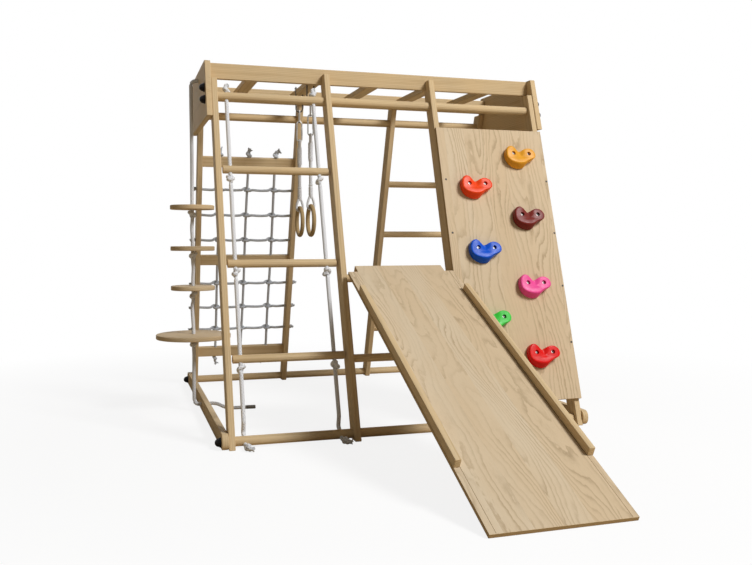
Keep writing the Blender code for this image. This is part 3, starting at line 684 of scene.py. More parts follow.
def lathe(name: str, profile: Sequence[Pair], centre: Point = (0.0, 0.0, 0.0),
          axis: Point = Z, steps: int = 48, closed: bool = False, smooth: float = 40.0) -> Piece:
    """Turn a profile on a lathe.

    Args:
        name: The piece's name.
        profile: Radius and height of each corner, from one end to the other.
        centre: Where the profile's zero height goes.
        axis: The direction of the profile's height.
        steps: Facets once round.
        closed: True for a profile that runs round a bore and closes.
        smooth: Edges sharper than this stay sharp, in degrees.

    Returns:
        The piece.
    """
    count = len(profile)
    edges = [(index, (index + 1) % count) for index in range(count if closed else count - 1)]
    mesh = bpy.data.meshes.new(name)
    mesh.from_pydata([(radius, 0.0, height) for radius, height in profile], edges, [])
    piece = added(name, mesh)
    apply_modifier(piece, "SCREW", steps=steps, render_steps=steps, use_merge_vertices=True,
                   merge_threshold=0.00001)
    with editing(piece):
        bpy.ops.mesh.select_all(action="SELECT")
        bpy.ops.mesh.remove_doubles(threshold=0.00001)
        bpy.ops.mesh.normals_make_consistent(inside=False)
    settle(piece, centre, axis)
    return shade(piece, smooth, weighted=False)


def arc(radius: float, first: float, last: float, steps: int, middle: Pair = (0.0, 0.0),
        rise: float | None = None) -> list[Pair]:
    """Points along an arc.

    Args:
        radius: Its radius along the first coordinate.
        first: The angle where it starts, in degrees.
        last: The angle where it ends.
        steps: Its number of chords.
        middle: Its middle.
        rise: Its radius along the second coordinate, if that differs.

    Returns:
        Pairs of coordinates, both ends included.
    """
    turns = [math.radians(first + (last - first) * step / steps) for step in range(steps + 1)]
    high = radius if rise is None else rise
    return [(middle[0] + radius * math.cos(turn), middle[1] + high * math.sin(turn))
            for turn in turns]


def rod_profile(radius: float, length: float, ease: float, steps: int = 4) -> list[Pair]:
    """Half the outline of a round bar with rounded ends, from its start to its end."""
    start = [(0.0, 0.0), *arc(ease, -90, 0, steps, (radius - ease, ease))]
    return start + [(reach, length - height) for reach, height in reversed(start)]


def between(points: Sequence[Point], step: float) -> list[Vector]:
    """Points at even steps along a smooth curve through the given points.

    Args:
        points: The given points.
        step: About how far apart the new ones are.

    Returns:
        The points, the last given one included.
    """
    route = [Vector(point) for point in points]
    padded = [2 * route[0] - route[1], *route, 2 * route[-1] - route[-2]]
    places = []
    for before, start, end, after in zip(padded, padded[1:], padded[2:], padded[3:]):
        count = max(1, round((end - start).length / step))
        for index in range(count):
            t = index / count
            places.append(0.5 * (2 * start + (end - before) * t
                                 + (2 * before - 5 * start + 4 * end - after) * t * t
                                 + (3 * start - before - 3 * end + after) * t ** 3))
    return [*places, route[-1]]


def map_tube(mesh: bpy.types.Mesh, points: Sequence[Point], sides: int, cyclic: bool) -> None:
    """Give a swept tube the map rope_map: once round is 1, along it is in metres.

    Args:
        mesh: The tube.
        points: Its centre line.
        sides: Facets round its section.
        cyclic: True for a closed loop.
    """
    runs = [0.0]
    for before, after in zip(points, points[1:]):
        runs.append(runs[-1] + (Vector(after) - Vector(before)).length)
    round_trip = runs[-1] + (Vector(points[0]) - Vector(points[-1])).length
    for layer in list(mesh.uv_layers):
        mesh.uv_layers.remove(layer)
    layer = mesh.uv_layers.new(name="rope_map")
    last_ring = len(points) - 1
    for face in mesh.polygons:
        rings = [mesh.loops[loop].vertex_index // sides for loop in face.loop_indices]
        spots = [mesh.loops[loop].vertex_index % sides for loop in face.loop_indices]
        wraps = max(spots) - min(spots) > sides / 2
        closes = cyclic and max(rings) == last_ring and min(rings) == 0
        for loop, ring, spot in zip(face.loop_indices, rings, spots):
            across = spot / sides + (1.0 if wraps and spot < sides / 2 else 0.0)
            run = round_trip if closes and ring == 0 else runs[min(ring, last_ring)]
            layer.data[loop].uv = (across, run)


def tube(name: str, points: Sequence[Point], radius: float, cyclic: bool = False,
         sides: int = 12) -> Piece:
    """Sweep a round section along points.

    Args:
        name: The piece's name.
        points: The centre line.
        radius: The section's radius.
        cyclic: True for a closed loop.
        sides: Facets round the section, an even number.

    Returns:
        The piece, a mesh with the map rope_map.
    """
    guide = bpy.data.curves.new(name, "CURVE")
    guide.dimensions = "3D"
    guide.bevel_depth = radius
    guide.bevel_resolution = (sides - 4) // 2
    guide.use_fill_caps = not cyclic
    strand = guide.splines.new("POLY")
    strand.points.add(len(points) - 1)
    for spot, place in zip(strand.points, points):
        spot.co = (*place, 1.0)
    strand.use_cyclic_u = cyclic
    piece = added(name, guide)
    work_on(piece)
    bpy.ops.object.convert(target="MESH")
    map_tube(piece.data, points, sides, cyclic)
    piece.data.shade_smooth()
    return piece


def joined(name: str, parts: Sequence[Piece]) -> Piece:
    """Join several parts into one piece.

    Args:
        name: The piece's name.
        parts: Two parts or more.

    Returns:
        The piece.
    """
    work_on(parts[0])
    for part in parts:
        part.select_set(True)
    bpy.ops.object.join()
    parts[0].name = name
    parts[0].data.name = name
    return parts[0]


def overhand(middle: Vector, axis: Vector, side: Vector, size: float,
             flip: int = 1) -> list[Vector]:
    """The route of an overhand knot in a rope that runs along an axis.

    Args:
        middle: The knot's middle.
        axis: Unit direction of the rope through it.
        side: Unit direction that the knot's loops lie towards.
        size: A quarter of the loops' width.
        flip: 1 or -1, for a knot tied the other way.

    Returns:
        Points through the knot.
    """
    across = axis.cross(side) * flip
    points = []
    for step in range(-21, 22):
        t = step / 10
        ease = clamped((abs(t) - 1.7) / 0.4)
        keep = 1.0 - ease * ease * (3 - 2 * ease)
        reach = side * (t ** 3 - 3 * t) * keep + across * (t ** 4 - 4 * t * t + 2) * keep
        points.append(middle + size * (reach + axis * (t ** 5 - 10 * t) / 5))
    return points


def hitch(middle: Vector, run: Vector, up: Vector, out: Vector, radius: float) -> list[Vector]:
    """The route of a rope that takes one turn round another where they cross.

    Args:
        middle: Where the two ropes' lines cross.
        run: Unit direction of the turning rope.
        up: Unit direction of the rope that it turns round.
        out: Unit direction out of the net towards its outer side.
        radius: Both ropes' radius.

    Returns:
        Points through the hitch.
    """
    far, near = run * HITCH_FAR * radius, run * HITCH_NEAR * radius
    rise, steps = up * HITCH_RISE * radius, 12
    points = [middle - far, middle - near + out * radius + rise]
    for step, (reach, depth) in enumerate(arc(HITCH_TURN * radius, 225, 675, steps)):
        points.append(middle + run * reach - out * depth + up * radius * (1 - 2 * step / steps))
    return [*points, middle + near + out * radius - rise, middle + far]


@dataclass(frozen=True)
class ScrewHead:
    """A round screw head with a recess."""

    radius: float
    height: float
    finish: Metal

    def profile(self) -> list[Pair]:
        """Half its outline, which starts just under the face.

        Returns:
            Radius and height of each corner.
        """
        rim, height = self.radius, self.height
        return [(0.0, -0.0004), (rim, -0.0004), (rim, height * 0.35), (rim * 0.85, height * 0.75),
                (rim * 0.55, height), (rim * 0.42, height), (rim * 0.3, height * 0.2),
                (0.0, height * 0.1)]


@dataclass(frozen=True)
class Brush:
    """The loose yarns at a cut rope end, in shares of the rope's radius or a yarn's length."""

    yarns: int = 11
    thickness: float = 0.27
    spread: float = 0.55
    root: float = 0.003
    jitter: float = 0.2
    flare: Pair = (0.25, 0.9)
    lengths: Pair = (0.7, 1.15)
    bends: Pairs = ((0.5, 0.2), (0.85, 0.75))


BRUSH = Brush()
WALL_SCREW = ScrewHead(0.0042, 0.0018, DARK_STEEL)
HOLD_SCREW = ScrewHead(0.0068, 0.0032, SCREW_STEEL)


@dataclass
class Workshop:
    """What every sub-assembly works with."""

    nodes: dict[str, Piece]
    dice: random.Random
    looks: dict[str, Material] = field(default_factory=dict)

    def look(self, recipe: Recipe) -> Material:
        """The material of a recipe, built at its first use.

        Args:
            recipe: The finish.

        Returns:
            Its material.
        """
        key = repr(recipe)
        if key not in self.looks:
            self.looks[key] = recipe.make()
        return self.looks[key]

    def dress(self, piece: Piece, recipe: Recipe, body: str = "frame", slot: str | None = None,
              stands_for: str | None = None) -> Piece:
        """Give a piece its finish, its body and the solid that it stands for.

        Args:
            piece: The finished piece.
            recipe: Its finish.
            body: The body that it rides on.
            slot: Not used.
            stands_for: Name of the solid that it replaces.

        Returns:
            The piece.
        """
        piece.data.materials.clear()
        piece.data.materials.append(self.look(recipe))
        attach(piece, body)
        if stands_for:
            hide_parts(stands_for)
        LOG.info("%s: %d faces, rides on %s", piece.name, len(piece.data.polygons), body)
        return piece

    def eased(self, node: str, recipe: Recipe, slot: str = "pine", body: str = "frame",
              ease: float = 0.0016, shortest: float = 0.008) -> Piece:
        """Copy a solid, round its long sharp edges and let it stand for the solid.

        Args:
            node: The solid's name.
            recipe: The copy's finish.
            slot: The record's material slot.
            body: The body that it rides on.
            ease: Width of the rounded edges.
            shortest: Edges shorter than this stay as they are.

        Returns:
            The finished copy.
        """
        piece = added(f"{node}_wood", self.nodes[node].data.copy())
        with editing(piece):
            bpy.ops.mesh.select_all(action="SELECT")
            bpy.ops.mesh.remove_doubles(threshold=0.00002)
            bpy.ops.mesh.dissolve_limited(angle_limit=math.radians(0.5))
            pick_edges(lambda edge: is_corner(edge) and edge.calc_length() > shortest)
            bpy.ops.mesh.bevel(offset=ease, segments=2)
        shade(piece)
        return self.dress(piece, recipe, body, slot, node)

    def panel(self, node: str, run: Run, out: Vector, body: str = "frame") -> None:
        """Make a plywood board, whose narrow faces show the plies.

        Args:
            node: The solid's name.
            run: Which way the grain runs.
            out: Unit direction out of its face.
            body: The body that it rides on.
        """
        piece = self.eased(node, PlyFace(run), "birch_plywood", body, 0.0012)
        piece.data.materials.append(self.look(PlyEdge(run)))
        for face in piece.data.polygons:
            if abs(face.normal.dot(out)) < 0.6:
                face.material_index = 1

    def round_bar(self, node: str, ease: float = 0.0025) -> None:
        """Make a round bar along X with rounded ends, in the place of its solid.

        Args:
            node: The solid's name.
            ease: Radius of the rounded rims.
        """
        low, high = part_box(node)
        middle = (low + high) / 2
        profile = rod_profile((high.z - low.z) / 2, high.x - low.x, ease)
        piece = lathe(f"{node}_wood", profile, (low.x, middle.y, middle.z), X)
        self.dress(piece, Softwood(Run.LENGTHWISE), "frame", "pine", node)

    def screw(self, kind: ScrewHead, name: str, place: Vector, out: Vector) -> None:
        """Set one screw head on a face of the frame.

        Args:
            kind: Its size and metal.
            name: The piece's name.
            place: The head's middle on the face.
            out: Unit direction out of the face.
        """
        piece = lathe(name, kind.profile(), place, out, 20, smooth=50.0)
        self.dress(piece, kind.finish)

    def fray(self, name: str, route: Sequence[Vector], radius: float, length: float,
             back: float = 0.0) -> Piece:
        """A brush of loose yarns at a cut rope end.

        Args:
            name: The piece's name.
            route: The rope's centre line, which ends at the cut.
            radius: The rope's radius.
            length: The yarns' usual length.
            back: How far before the cut the yarns leave the rope.

        Returns:
            The brush as one piece.
        """
        direction = (route[-1] - route[-2]).normalized()
        tip = route[-1] - direction * back
        side = direction.orthogonal().normalized()
        yarns = []
        for index in range(BRUSH.yarns):
            turn = math.tau * index / BRUSH.yarns + self.dice.uniform(-BRUSH.jitter, BRUSH.jitter)
            out = Matrix.Rotation(turn, 3, direction) @ side
            flare = out * self.dice.uniform(*BRUSH.flare)
            start = tip + out * radius * BRUSH.spread - direction * BRUSH.root
            reach = length * self.dice.uniform(*BRUSH.lengths)
            yarn = [start, *(start + reach * (direction * ahead + flare * aside)
                             for ahead, aside in BRUSH.bends)]
            yarns.append(tube(f"{name}_{index}", yarn, radius * BRUSH.thickness, sides=6))
        return joined(name, yarns)


@dataclass
class SubAssembly:
    """A group of pieces that one workshop makes."""

    shop: Workshop


@dataclass
class Studio:
    """The camera, the lamps, the world and the floor."""

    camera_place: Point = (-0.94305, -3.04247, 0.7134)
    camera_pitch: float = math.radians(2.891)
    camera_yaw: float = math.radians(17.168)
    lens: float = 40.31
    aim: Point = (0.0, 0.1, 0.6)
    lamp_size: float = 2.4
    lamps: tuple[tuple[str, Point, float], ...] = (
        ("key_lamp", (3.92, -5.38, 6.56), 740.0), ("back_lamp", (1.5, 6.0, 2.6), 60.0))
    white: Colour = (1.0, 1.0, 1.0)
    sky_tint: Colour = (1.0, 0.91, 0.77)
    sky_level: float = 0.15
    floor_size: float = 40.0
    floor_bounce: Colour = (0.62, 0.51, 0.36)
    floor_pale: Colour = (0.93, 0.93, 0.93)
    fade: Pair = (1.2, 2.8)
    glow_share: float = 0.86

    def camera(self) -> None:
        """Set the camera at the photograph's place and angle."""
        data = bpy.data.cameras.new("studio_camera")
        data.lens = self.lens
        data.sensor_width = 36.0
        data.clip_end = 60.0
        stand = added("studio_camera", data)
        stand.location = self.camera_place
        stand.rotation_euler = (math.pi / 2 - self.camera_pitch, 0.0, -self.camera_yaw)
        bpy.context.scene.camera = stand

    def lamp(self, name: str, place: Point, power: float) -> None:
        """Hang one square soft lamp that faces the object.

        Args:
            name: The lamp's name.
            place: Where it hangs.
            power: Its power in watts.
        """
        data = bpy.data.lights.new(name, "AREA")
        data.size = self.lamp_size
        data.energy = power
        lamp = added(name, data)
        lamp.location = place
        way = Vector(self.aim) - Vector(place)
        lamp.rotation_euler = way.to_track_quat("-Z", "Y").to_euler()

    def world(self) -> None:
        """A soft even sky, a little warm, that the camera and mirrors see as white."""
        world = bpy.data.worlds.new("studio_world")
        bpy.context.scene.world = world
        sheet = Wiring(world)
        rays = sheet.node("LightPath").outputs
        seen = sheet.math("MAXIMUM", rays["Is Camera Ray"], rays["Is Glossy Ray"])
        sheet.feed(sheet.tree.nodes["Background"],
                   {"Color": sheet.mix(seen, self.sky_tint, self.white),
                    "Strength": sheet.remap(seen, 0.0, 1.0, self.sky_level, 1.0)})

    def floor(self) -> None:
        """A wide pale floor that fades to the white of the world."""
        deselect()
        bpy.ops.mesh.primitive_plane_add(size=self.floor_size)
        floor = fresh("studio_floor")
        sheet = new_sheet("studio_floor")
        camera_ray = sheet.node("LightPath").outputs["Is Camera Ray"]
        shader = sheet.tree.nodes["Principled BSDF"]
        tone = sheet.mix(camera_ray, self.floor_bounce, self.floor_pale)
        sheet.feed(shader, {"Roughness": 0.9, "Specular IOR Level": 0.0, "Base Color": tone})
        reach = sheet.node("VectorMath", {0: sheet.place()}, operation="LENGTH").outputs["Value"]
        seen = sheet.times(sheet.remap(reach, *self.fade, self.glow_share, 1.0),
                          camera_ray)
        glow = sheet.node("Emission", {"Strength": 1.0}).outputs[0]
        blend = sheet.node("MixShader", {0: seen, 1: shader.outputs[0], 2: glow})
        sheet.feed(sheet.tree.nodes["Material Output"], {0: blend.outputs[0]})
        floor.data.materials.append(sheet.block)

    def build(self) -> None:
        """Set up the whole studio, with the key lamp at the upper right."""
        self.camera()
        self.world()
        self.floor()
        for name, place, power in self.lamps:
            self.lamp(name, place, power)
        bpy.context.scene.view_settings.view_transform = "Standard"


@dataclass
class WoodenFrame(SubAssembly):
    """Posts, top, base rails, bars and rungs, with the caps over their bolts."""

    edge_ease: float = 0.0026
    rail_round: float = 0.025
    cap_radius: float = 0.0172
    cap_height: float = 0.021
    cap_flange: float = 0.005
    cap_grips: int = 8
    grip_depth: float = 0.09
    caps: tuple[tuple[Side, str, float, float], ...] = (
        (Side.FRONT, "top", 1.296, 1.0), (Side.FRONT, "bar", 1.248, 1.0),
        (Side.FRONT, "base", BASE_BAR_HEIGHT, 1.0), (Side.BACK, "bar", 1.252, 0.5),
        (Side.BACK, "base", BASE_BAR_HEIGHT, 1.0))

    def boards(self) -> None:
        """The eight leaning posts, the end plates, the rails and the slats."""
        lengthwise, depthwise = Softwood(Run.LENGTHWISE), Softwood(Run.DEPTHWISE)
        edged = [(f"post_{side}_{place}", Softwood(run))
                 for side, run in (("front", Run.FRONT_SLOPE), ("back", Run.BACK_SLOPE))
                 for place in ("left", "mid_left", "mid_right", "right")]
        edged += [(f"end_plate_{side}", depthwise) for side in ("left", "right")]
        edged += [(f"top_rail_{side}", lengthwise) for side in ("front", "back")]
        for node, recipe in edged:
            self.shop.eased(node, recipe, ease=self.edge_ease)
        for number in range(1, 6):
            self.shop.eased(f"top_slat_{number}", depthwise)

    def bars(self) -> None:
        """The round bars and rungs."""
        names = [f"{level}_bar_{side}" for level in ("top", "base") for side in ("front", "back")]
        names += ["middle_rung_upper", "middle_rung_lower"]
        names += [f"back_rung_{number}" for number in range(1, 5)]
        for name in names:
            self.shop.round_bar(name)

    def base_rails(self) -> None:
        """The floor rails, whose ends are rounded."""
        for side in ("left", "right"):
            node = f"base_rail_{side}"
            low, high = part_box(node)
            deselect()
            bpy.ops.mesh.primitive_cube_add(size=1.0, location=(low + high) / 2, scale=high - low)
            piece = fresh(f"{node}_wood")
            with editing(piece):
                pick_edges(lambda edge: reach_x(edge) > 0.01 and min(
                    abs(edge.verts[0].co.y - end) for end in (low.y, high.y)) < 0.001)
                bpy.ops.mesh.bevel(offset=self.rail_round, segments=8)
                pick_edges(lambda edge: reach_x(edge) < 0.001 and is_corner(edge))
                bpy.ops.mesh.bevel(offset=self.edge_ease, segments=2)
            shade(piece)
            self.shop.dress(piece, Softwood(Run.DEPTHWISE), "frame", "pine", node)

    def cap(self, name: str, place: Vector, out: float, size: float) -> None:
        """A black cap on a bolt's end: a flange and a high dome with shallow grips.

        Args:
            name: The piece's name.
            place: Its foot's middle.
            out: -1 for the left end, 1 for the right end.
            size: Its share of the full size.
        """
        rim, height = self.cap_radius * size, self.cap_height * size
        flange = self.cap_flange * size
        dome = height - flange
        profile = [(0.0, 0.0), (rim, 0.0), (rim, flange * 0.64), (rim * 0.96, flange)]
        profile += arc(rim * 0.88, 0, 90, 8, (0.0, flange), dome)
        piece = lathe(name, profile, steps=64, smooth=50.0)
        with editing(piece) as shape:
            for vert in shape.verts:
                rise = vert.co.z - flange
                if rise > 0.0001:
                    turn = math.atan2(vert.co.y, vert.co.x)
                    share = math.sin(math.pi * rise / dome) * self.grip_depth
                    wave = 1.0 - share * (0.5 - 0.5 * math.cos(self.cap_grips * turn)) ** 3
                    vert.co.xy *= wave
            bmesh.update_edit_mesh(piece.data)
        settle(piece, place, (out, 0, 0))
        self.shop.dress(piece, BLACK_CAP)

    def build(self) -> None:
        """Make the whole frame."""
        self.boards()
        self.bars()
        self.base_rails()
        for out, word, outside in ((-1.0, "left", -STOCK - FACE_GAP),
                                   (1.0, "right", LENGTH + STOCK + FACE_GAP)):
            for side, level, height, size in self.caps:
                name = f"{level}_cap_{side.name.lower()}_{word}"
                self.cap(name, side.point(outside, along(height)), out, size)


@dataclass
class RopeLadder(SubAssembly):
    """Three rungs on two knotted ropes in the left front bay."""

    rung_heights: Floats = (0.9766, 0.6271, 0.2933)
    ropes: tuple[tuple[str, float, float], ...] = (("left", 0.058, 0.5), ("right", 0.399, 2.2))
    top_knot_lift: float = 0.011
    top_knot_size: float = 0.85
    knot_turn: float = 1.1
    top_tail: Floats = (0.018, 0.020, 0.006)
    foot_turn: float = math.radians(50)
    foot_heights: Floats = (0.16, 0.075, 0.056)
    hole_reaches: Floats = (0.038, 0.018, -0.012, -0.022)
    foot_lift: float = 0.0052
    foot_knot_place: Point = (0.004, -0.044, 0.0)
    foot_tail: Point = (0.013, -0.019, -0.002)
    foot_knot_size: float = 0.66
    fray_lengths: Pair = (0.009, 0.008)

    def knotted(self, x: float, turn: float) -> list[Vector]:
        """One rope's line, from its tail above the top bar to its knot under the last rung.

        Args:
            x: The rope's place along the length.
            turn: How far its first knot is turned about the rope.

        Returns:
            Points along the rope.
        """
        side, down = Side.FRONT, -Side.FRONT.up()
        knots = [along(TOP_BAR_HEIGHT) + BAR_RADIUS + self.top_knot_lift]
        knots += [along(height) - RUNG_RADIUS - KNOT_REACH for height in self.rung_heights]
        low, high, lean = self.top_tail
        points = [side.point(x + lean, knots[0] + high), side.point(x, knots[0] + low)]
        for index, level in enumerate(knots):
            across = Matrix.Rotation(turn + self.knot_turn * index, 3, down) @ X
            size = ROPE_KNOT * (1.0 if index else self.top_knot_size)
            points += overhand(side.point(x, level), down, across, size, (1, -1)[index % 2])
            points.append(side.point(x, level - KNOT_END))
        return points

    def foot(self, x: float) -> list[Vector]:
        """The rope's line through the base bar, to its knot and tail in front of the bar.

        Args:
            x: The rope's place along the length.

        Returns:
            Points along the rope.
        """
        side, base = Side.FRONT, along(BASE_BAR_HEIGHT)
        middle = side.point(x, base)
        slope = Vector((0.0, math.sin(self.foot_turn), math.cos(self.foot_turn)))
        above = [base + height for height in self.foot_heights]
        *inside, leave = (middle + slope * reach for reach in self.hole_reaches)
        lift = self.foot_lift * Z
        knot = leave + lift + Vector(self.foot_knot_place)
        return [side.point(x, above[0]), side.point(x, above[1]),
                side.point(x, above[2], MID_DEPTH + 0.006), *inside,
                leave + lift, leave - 0.014 * Y + lift * 0.6,
                *overhand(knot, -Y, X, ROPE_KNOT * self.foot_knot_size),
                knot + Vector(self.foot_tail)]

    def build(self) -> None:
        """Make the rungs, and both ropes with frayed tails."""
        for number in range(1, 4):
            self.shop.round_bar(f"ladder_rung_{number}")
        foot_fray, top_fray = self.fray_lengths
        for word, x, turn in self.ropes:
            route = between(self.knotted(x, turn) + self.foot(x), ROPE_STEP)
            name = f"ladder_rope_{word}"
            rope = [tube(f"{name}_braid", route, ROPE_RADIUS),
                    self.shop.fray(f"ladder_tail_{word}", route, ROPE_RADIUS, foot_fray),
                    self.shop.fray(f"ladder_top_tail_{word}", route[::-1], ROPE_RADIUS, top_fray)]
            self.shop.dress(joined(f"{name}_braid", rope), WHITE_ROPE, "frame", "white_rope", name)


@dataclass
class RopeNet(SubAssembly):
    """The net behind the ladder: three boards, three uprights and six rows."""

    board_heights: Floats = (1.0683, 0.6193, 0.1658)
    board_width: float = 0.0465
    uprights_x: Floats = (0.105, 0.231, 0.356)
    tail_leans: Floats = (-0.004, 0.004, 0.014)
    row_heights: Floats = (0.945, 0.829, 0.713, 0.506, 0.389, 0.280)
    radius: float = 0.006
    knot: float = 0.0030
    top_knot_size: float = 1.3
    end_knot_sizes: Pair = (0.75, 0.65)
    knot_turn: float = 0.9
    top_tail: Floats = (0.015, 0.027, 0.034)
    foot_tail: Floats = (0.015, 0.027, 0.040)
    left_tail: Floats = (0.011, 0.020, 0.023)
    right_tail: Floats = (0.009, 0.019, 0.022)
    tail_drop: float = 0.001
    top_fray: Floats = (1.5, 0.016, 0.004)
    foot_fray: float = 0.012
    end_frays: Pair = (0.006, 0.005)
    hole_gap: float = 0.006
    hole_end: float = 0.004
    bow: float = 0.0012
    bow_turns: Pair = (9.0, 2.0)
    bow_steps: int = 14
    sag: float = 0.0022
    first_shown_end: int = 3

    def upright(self, x: float, number: int) -> list[Piece]:
        """One upright rope, knotted above the top board and below the bottom one.

        Args:
            x: The rope's place along the length.
            number: The rope's number, from 0 at the left.

        Returns:
            The rope and its frayed ends.
        """
        side, down = Side.BACK, -Side.BACK.up()
        top = along(self.board_heights[0]) + self.board_width / 2
        bottom = along(self.board_heights[-1]) - self.board_width / 2
        high, low = top - self.hole_gap, bottom + self.hole_gap
        lean = self.tail_leans[number]
        turn = Matrix.Rotation(self.knot_turn * number, 3, down) @ X
        knot, straight, tip = (top + reach for reach in self.top_tail)
        size = self.knot * self.top_knot_size
        points = [side.point(x + lean, tip), side.point(x, straight),
                  *overhand(side.point(x, knot), down, turn, size), side.point(x, high)]
        for step in range(1, self.bow_steps):
            share = step / self.bow_steps
            wave = self.bow_turns[0] * share + self.bow_turns[1] * number
            points.append(side.point(x + self.bow * math.sin(wave), high + (low - high) * share))
        knot, straight, tip = (bottom - reach for reach in self.foot_tail)
        points += [side.point(x, low), *overhand(side.point(x, knot), down, turn, self.knot),
                   side.point(x, straight), side.point(x - 1.4 * lean, tip)]
        route = between(points, NET_STEP)
        width, length, back = self.top_fray
        return [tube(f"net_upright_{number + 1}", route, self.radius, sides=10),
                self.shop.fray(f"net_top_tail_{number}", route[::-1], self.radius * width,
                               length, back),
                self.shop.fray(f"net_foot_tail_{number}", route, self.radius, self.foot_fray)]

    def row(self, height: float, number: int) -> list[Piece]:
        """One level rope, hitched round each upright, with small knots outside the posts.

        Args:
            height: The row's height.
            number: The row's number, from 0 at the top.

        Returns:
            The rope and its frayed ends. The upper rows end inside the right post.
        """
        side, run, far = Side.BACK, along(height), POST_PITCH + STOCK
        left_knot, right_knot = (self.knot * size for size in self.end_knot_sizes)
        knot, straight, tip = self.left_tail
        points = [side.point(-tip, run - self.tail_drop), side.point(-straight, run),
                  *overhand(side.point(-knot, run), X, side.up(), left_knot),
                  side.point(self.hole_end, run), side.point(STOCK + self.hole_end, run)]
        stops = [STOCK, *self.uprights_x, POST_PITCH]
        for start, end in zip(stops, stops[1:]):
            if start != STOCK:
                points += hitch(side.point(start, run), X, side.up(), side.outward(), self.radius)
            points.append(side.point((start + end) / 2, run - self.sag))
        points += [side.point(POST_PITCH - self.hole_end, run),
                   side.point(far - self.hole_end, run)]
        shows = number >= self.first_shown_end
        if shows:
            knot, straight, tip = (far + reach for reach in self.right_tail)
            points += [*overhand(side.point(knot, run), X, side.up(), right_knot),
                       side.point(straight, run), side.point(tip, run - self.tail_drop)]
        route, (left_fray, right_fray) = between(points, NET_STEP), self.end_frays
        parts = [tube(f"net_row_{number + 1}", route, self.radius, sides=10),
                 self.shop.fray(f"net_left_tail_{number}", route[::-1], self.radius, left_fray)]
        if shows:
            parts.append(self.shop.fray(f"net_right_tail_{number}", route, self.radius,
                                        right_fray))
        return parts

    def build(self) -> None:
        """Make the boards and the ropes."""
        for level in ("top", "middle", "bottom"):
            self.shop.eased(f"net_board_{level}", Softwood(Run.LENGTHWISE))
        for name, make, places in (("net_upright_ropes", self.upright, self.uprights_x),
                                   ("net_level_ropes", self.row, self.row_heights)):
            parts = [part for number, place in enumerate(places) for part in make(place, number)]
            # The net's ropes take a rope colour darkened as painted shade
            self.shop.dress(joined(name, parts), NET_ROPE_SHADED, "frame", "white_rope", "rope_net")


